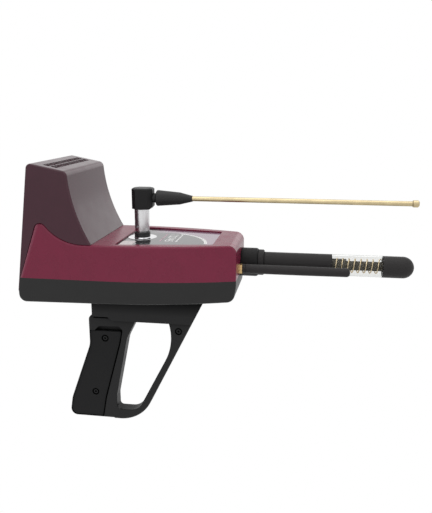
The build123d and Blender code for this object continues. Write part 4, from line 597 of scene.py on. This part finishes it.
def plane(origin, along, up):
    """A place with x along one direction, y up another and z square to both."""
    x = along.normalized()
    z = x.cross(up).normalized()
    y = z.cross(x)
    rows = Matrix((x, y, z)).transposed().to_4x4()
    rows.translation = origin
    return rows


def middle(node):
    """The middle of a node's box."""
    low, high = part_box(node)
    return (low + high) / 2


# Dial print: plain lines, plain figures read from behind the grip, the arc and a plain field
print_thickness = 0.05 * mm
dial_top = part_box("dial_plate")[1].z
dial_place = Matrix.Translation((0.0, 0.0, dial_top))
arc_place = Matrix.Translation((*arc_centre, dial_top))
arc_width = 3.2 * mm
arc_start = 5.0              # degrees from straight ahead
arc_end = 69.5
line_half = 18.5 * mm        # lines across the dial
white_line = (90.1 * mm, 91.7 * mm)
rose_line = (72.9 * mm, 74.2 * mm)
figure_count = 5
figure_x = 82.0 * mm
figure_size = 12.0 * mm
figure_boldness = 0.03       # share of the size added all round each stroke
figure_pitch = 7.4 * mm
field_corners = (35.6 * mm, -44.5 * mm, 49.5 * mm, -21.0 * mm)
field_round = 2.0 * mm


def make_dial_print():
    """The white arc and line, a row of white figures, a rose line and a pale field by the post."""
    def line_across(edges):
        """The outline of a line across the dial, from its rear and front edge."""
        return bar(edges[0], -line_half, edges[1], line_half)

    bm = bmesh.new()
    add_slab(bm, arc_band(arc_radius, arc_width, arc_start, arc_end), arc_place, print_thickness)
    add_slab(bm, line_across(white_line), dial_place, print_thickness)
    piece("dial_arc", bm, white_print, "housing")
    to_the_user = Matrix.Rotation(math.radians(-90), 4, "Z")
    for column in range(figure_count):
        figure_y = ((figure_count - 1) / 2 - column) * figure_pitch
        place = Matrix.Translation((figure_x, figure_y, dial_top)) @ to_the_user
        name = "dial_figure_%d" % (column + 1)
        mesh = number_mesh(name, str(column + 1), figure_size, figure_boldness, place, print_thickness)
        piece(name, mesh, white_print, "housing")
    bm = bmesh.new()
    add_slab(bm, line_across(rose_line), dial_place, print_thickness)
    piece("dial_rose_line", bm, rose_print, "housing")
    bm = bmesh.new()
    add_slab(bm, rounded(*field_corners, field_round), dial_place, print_thickness)
    piece("dial_field", bm, pale_print, "housing")


# Winding in the clear window: one wire round the core, with a straight end at either side
coil_radius = 7.3 * mm
coil_wire_radius = 0.6 * mm
coil_wire_sides = 12
coil_turns = 7.25
coil_lead_angle = math.radians(205.0)
coil_straight = 1.3 * mm
coil_bend = 2.4 * mm
coil_steps = 40              # points on each turn
bend_steps = 5               # stretches in each bend


def make_coil():
    """The copper winding, left-handed, from the rear of the tube to the front end of the window."""
    axis = middle("coil_core")
    window_low, window_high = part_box("probe_window")
    wire_low, wire_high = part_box("coil_wire")
    rear = window_low.x + coil_straight + coil_bend
    front = window_high.x - coil_straight - coil_bend
    pitch = (front - rear) / coil_turns
    bend_angle = coil_bend / coil_radius
    first = coil_lead_angle - bend_angle
    last = first - 2 * math.pi * coil_turns

    def on_coil(x, angle):
        """A point on the middle of the wire."""
        y = axis.y + coil_radius * math.cos(angle)
        z = axis.z + coil_radius * math.sin(angle)
        return Vector((x, y, z))

    path = [on_coil(wire_low.x, coil_lead_angle), on_coil(rear - coil_bend, coil_lead_angle)]
    for i in range(1, bend_steps):
        share = i / bend_steps
        path.append(on_coil(rear - coil_bend * (1 - share), coil_lead_angle - bend_angle * share**2))
    count = round(coil_turns * coil_steps)
    for i in range(count + 1):
        turn = coil_turns * i / count
        path.append(on_coil(rear + pitch * turn, first - 2 * math.pi * turn))
    for i in range(1, bend_steps):
        share = i / bend_steps
        path.append(on_coil(front + coil_bend * share, last - bend_angle * (1 - (1 - share) ** 2)))
    path.append(on_coil(front + coil_bend, last - bend_angle))
    path.append(on_coil(wire_high.x, last - bend_angle))
    bm = bmesh.new()
    add_tube(bm, path, coil_wire_radius, coil_wire_sides)
    coil = piece("coil_winding", bm, paints["coil_copper"], "housing")
    smooth(coil)
    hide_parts("coil_wire")


# Woven mesh behind the speaker slots
mesh_pitch = 1.4 * mm
mesh_wire_radius = 0.22 * mm
mesh_wire_sides = 6
mesh_swing = 0.8 * mesh_wire_radius   # how far a wire goes over and under the middle


def make_grille():
    """Round wires that pass over and under each other, in place of a plain sheet."""
    sheet = nodes["grille_mesh"].data
    largest = max(sheet.polygons, key=lambda polygon: polygon.area)
    normal = largest.normal if largest.normal.z > 0 else -largest.normal
    place = plane(middle("grille_mesh"), user_right, normal.cross(user_right))
    inverse = place.inverted()
    local = [inverse @ vertex.co for vertex in sheet.vertices]
    half_x = max(point.x for point in local) - mesh_wire_radius
    half_y = max(point.y for point in local) - mesh_wire_radius
    bm = bmesh.new()
    for half_along, half_across, crossed in ((half_x, half_y, False), (half_y, half_x, True)):
        wires = int(2 * half_across / mesh_pitch)
        waves = int(2 * half_along / mesh_pitch)
        for w in range(wires + 1):
            offset = (w - wires / 2) * mesh_pitch
            path = []
            for i in range(waves + 1):
                along = (i - waves / 2) * mesh_pitch
                over = 1 if (i + w) % 2 == int(crossed) else -1
                x, y = (offset, along) if crossed else (along, offset)
                path.append(place @ Vector((x, y, over * mesh_swing)))
            add_tube(bm, path, mesh_wire_radius, mesh_wire_sides)
    grille = piece("grille_weave", bm, paints["grille_steel"], "housing")
    smooth(grille)
    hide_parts("grille_mesh")


# Signs on the keys and the line round the fascia, on the user's side
sign_thickness = 0.12 * mm
sign_reach = 2.1 * mm        # from the middle of a key to the end of its sign
sign_half_stroke = 0.35 * mm
arrow_base = 0.7 * sign_reach
arrow_half = 0.9 * sign_reach
power_radius = 2.4 * mm
power_stroke = 0.6 * mm
power_open = 35.0            # degrees from straight up to either end of the ring
power_foot = 0.6 * mm        # lower and upper end of the bar in the ring's opening
power_head = 3.2 * mm
border_inset = 3.0 * mm
border_line = 0.5 * mm
border_round = 4.0 * mm


def fascia_place():
    """The fascia's outer face: x to the user's right, y up the face, z out towards the user."""
    film = nodes["rear_fascia"].data
    rearward = [polygon for polygon in film.polygons if polygon.normal.x < -0.5]
    largest = max(rearward, key=lambda polygon: polygon.area)
    up = user_right.cross(largest.normal)
    return plane(middle("rear_fascia"), user_right, -up if up.z < 0 else up)


def reach_in(node, place):
    """How far a node reaches in a place: low and high along x and along y, and the highest z."""
    inverse = place.inverted()
    local = [inverse @ vertex.co for vertex in nodes[node].data.vertices]
    x_values = [point.x for point in local]
    y_values = [point.y for point in local]
    top = max(point.z for point in local)
    return min(x_values), max(x_values), min(y_values), max(y_values), top


def make_key_signs():
    """Raised arrows, a plus and a minus on the keys, and the usual sign on the round one."""
    face = fascia_place()
    far = sign_reach
    thin = sign_half_stroke
    power_ring = arc_band(power_radius, power_stroke, 90 + power_open, 450 - power_open)
    power_bar = bar(-power_stroke / 2, power_foot, power_stroke / 2, power_head)
    signs = {
        "key_1": [[(-far, 0.0), (arrow_base, -arrow_half), (arrow_base, arrow_half)]],
        "key_2": [bar(-far, -thin, far, thin)],
        "key_3": [bar(-far, -thin, -thin, thin), bar(thin, -thin, far, thin), bar(-thin, -far, thin, far)],
        "key_4": [[(far, 0.0), (-arrow_base, arrow_half), (-arrow_base, -arrow_half)]],
        "power_key": [power_ring, power_bar],
    }
    for key, outlines in signs.items():
        low_x, high_x, low_y, high_y, top = reach_in(key, face)
        place = face @ Matrix.Translation(((low_x + high_x) / 2, (low_y + high_y) / 2, top))
        bm = bmesh.new()
        for outline in outlines:
            add_slab(bm, outline, place, sign_thickness)
        piece(key + "_sign", bm, white_print, key)


def make_fascia_border():
    """A thin line printed round the fascia."""
    face = fascia_place()
    low_x, high_x, low_y, high_y, top = reach_in("rear_fascia", face)
    place = face @ Matrix.Translation((0.0, 0.0, top))

    def ring(inward):
        """The outline that lies so far inside the border's outer edge."""
        inset = border_inset + inward
        return rounded(low_x + inset, low_y + inset, high_x - inset, high_y - inset, border_round - inward)

    bm = bmesh.new()
    add_frame(bm, ring(0.0), ring(border_line), place, print_thickness)
    piece("fascia_border", bm, grey_print, "housing")


def seen_ray(tree):
    """A socket that is 1 on camera, glossy and transmission rays and 0 on the rest."""
    rays = tree.nodes.new("ShaderNodeLightPath")
    seen = rays.outputs["Is Camera Ray"]
    for kind in ("Is Glossy Ray", "Is Transmission Ray"):
        either = tree.nodes.new("ShaderNodeMath")
        either.operation = "MAXIMUM"
        tree.links.new(seen, either.inputs[0])
        tree.links.new(rays.outputs[kind], either.inputs[1])
        seen = either.outputs[0]
    return seen


def make_floor():
    """A white floor that keeps the object's shadow and runs into the white surroundings."""
    bm = bmesh.new()
    bmesh.ops.create_grid(bm, x_segments=4, y_segments=4, size=floor_half)
    mesh = bpy.data.meshes.new("floor")
    bm.to_mesh(mesh)
    bm.free()
    floor = bpy.data.objects.new("floor", mesh)
    floor.location.z = floor_z
    bpy.context.scene.collection.objects.link(floor)
    paint = Paint("floor_white", Base_Color=tone(floor_colour), Roughness=0.9, Specular_IOR_Level=0.1)
    white = paint.spread(paint.away(shadow_centre), shadow_white, 1.0, shadow_near, shadow_far,
                         curve="SMOOTHSTEP")
    glow = paint.node("ShaderNodeEmission")
    paint.cover(paint.sums("MULTIPLY", seen_ray(paint.tree), white), glow)
    mesh.materials.append(paint.material)


def make_surroundings():
    """Surroundings that look plain white and light matt surfaces at a lower level."""
    world = bpy.data.worlds.new("white_surroundings")
    bpy.context.scene.world = world
    world.use_nodes = True
    tree = world.node_tree
    light = tree.nodes["Background"]
    light.inputs["Color"].default_value = (1.0, 1.0, 1.0, 1.0)
    level = tree.nodes.new("ShaderNodeMapRange")
    level.inputs["To Min"].default_value = open_light
    level.inputs["To Max"].default_value = 1.0
    tree.links.new(seen_ray(tree), level.inputs["Value"])
    tree.links.new(level.outputs["Result"], light.inputs["Strength"])


def make_lamp(name, place, target, size, watts):
    """A square soft lamp that looks at a point."""
    light = bpy.data.lights.new(name, "AREA")
    light.size = size
    light.energy = watts
    made = bpy.data.objects.new(name, light)
    made.location = place
    made.rotation_mode = "QUATERNION"
    made.rotation_quaternion = (Vector(target) - Vector(place)).to_track_quat("-Z", "Y")
    bpy.context.scene.collection.objects.link(made)


def make_camera():
    """The camera at the photograph's place."""
    azimuth = math.radians(camera_azimuth)
    elevation = math.radians(camera_elevation)
    level = math.cos(elevation)
    back = Vector((math.sin(azimuth) * level, -math.cos(azimuth) * level, math.sin(elevation)))
    lens = bpy.data.cameras.new("camera")
    lens.lens = camera_lens
    lens.sensor_width = camera_sensor
    lens.sensor_height = camera_sensor
    lens.sensor_fit = "VERTICAL"
    lens.clip_start = 0.01
    lens.clip_end = 100.0
    camera = bpy.data.objects.new("camera", lens)
    camera.location = camera_place
    camera.rotation_mode = "QUATERNION"
    camera.rotation_quaternion = (-back).to_track_quat("-Z", "Y")
    bpy.context.scene.collection.objects.link(camera)
    bpy.context.scene.camera = camera


make_camera()
make_floor()
make_surroundings()
for row in lamps:
    make_lamp(*row)
make_coil()
make_grille()
make_dial_print()
make_key_signs()
make_fascia_border()
bpy.context.scene.view_settings.view_transform = "Standard"
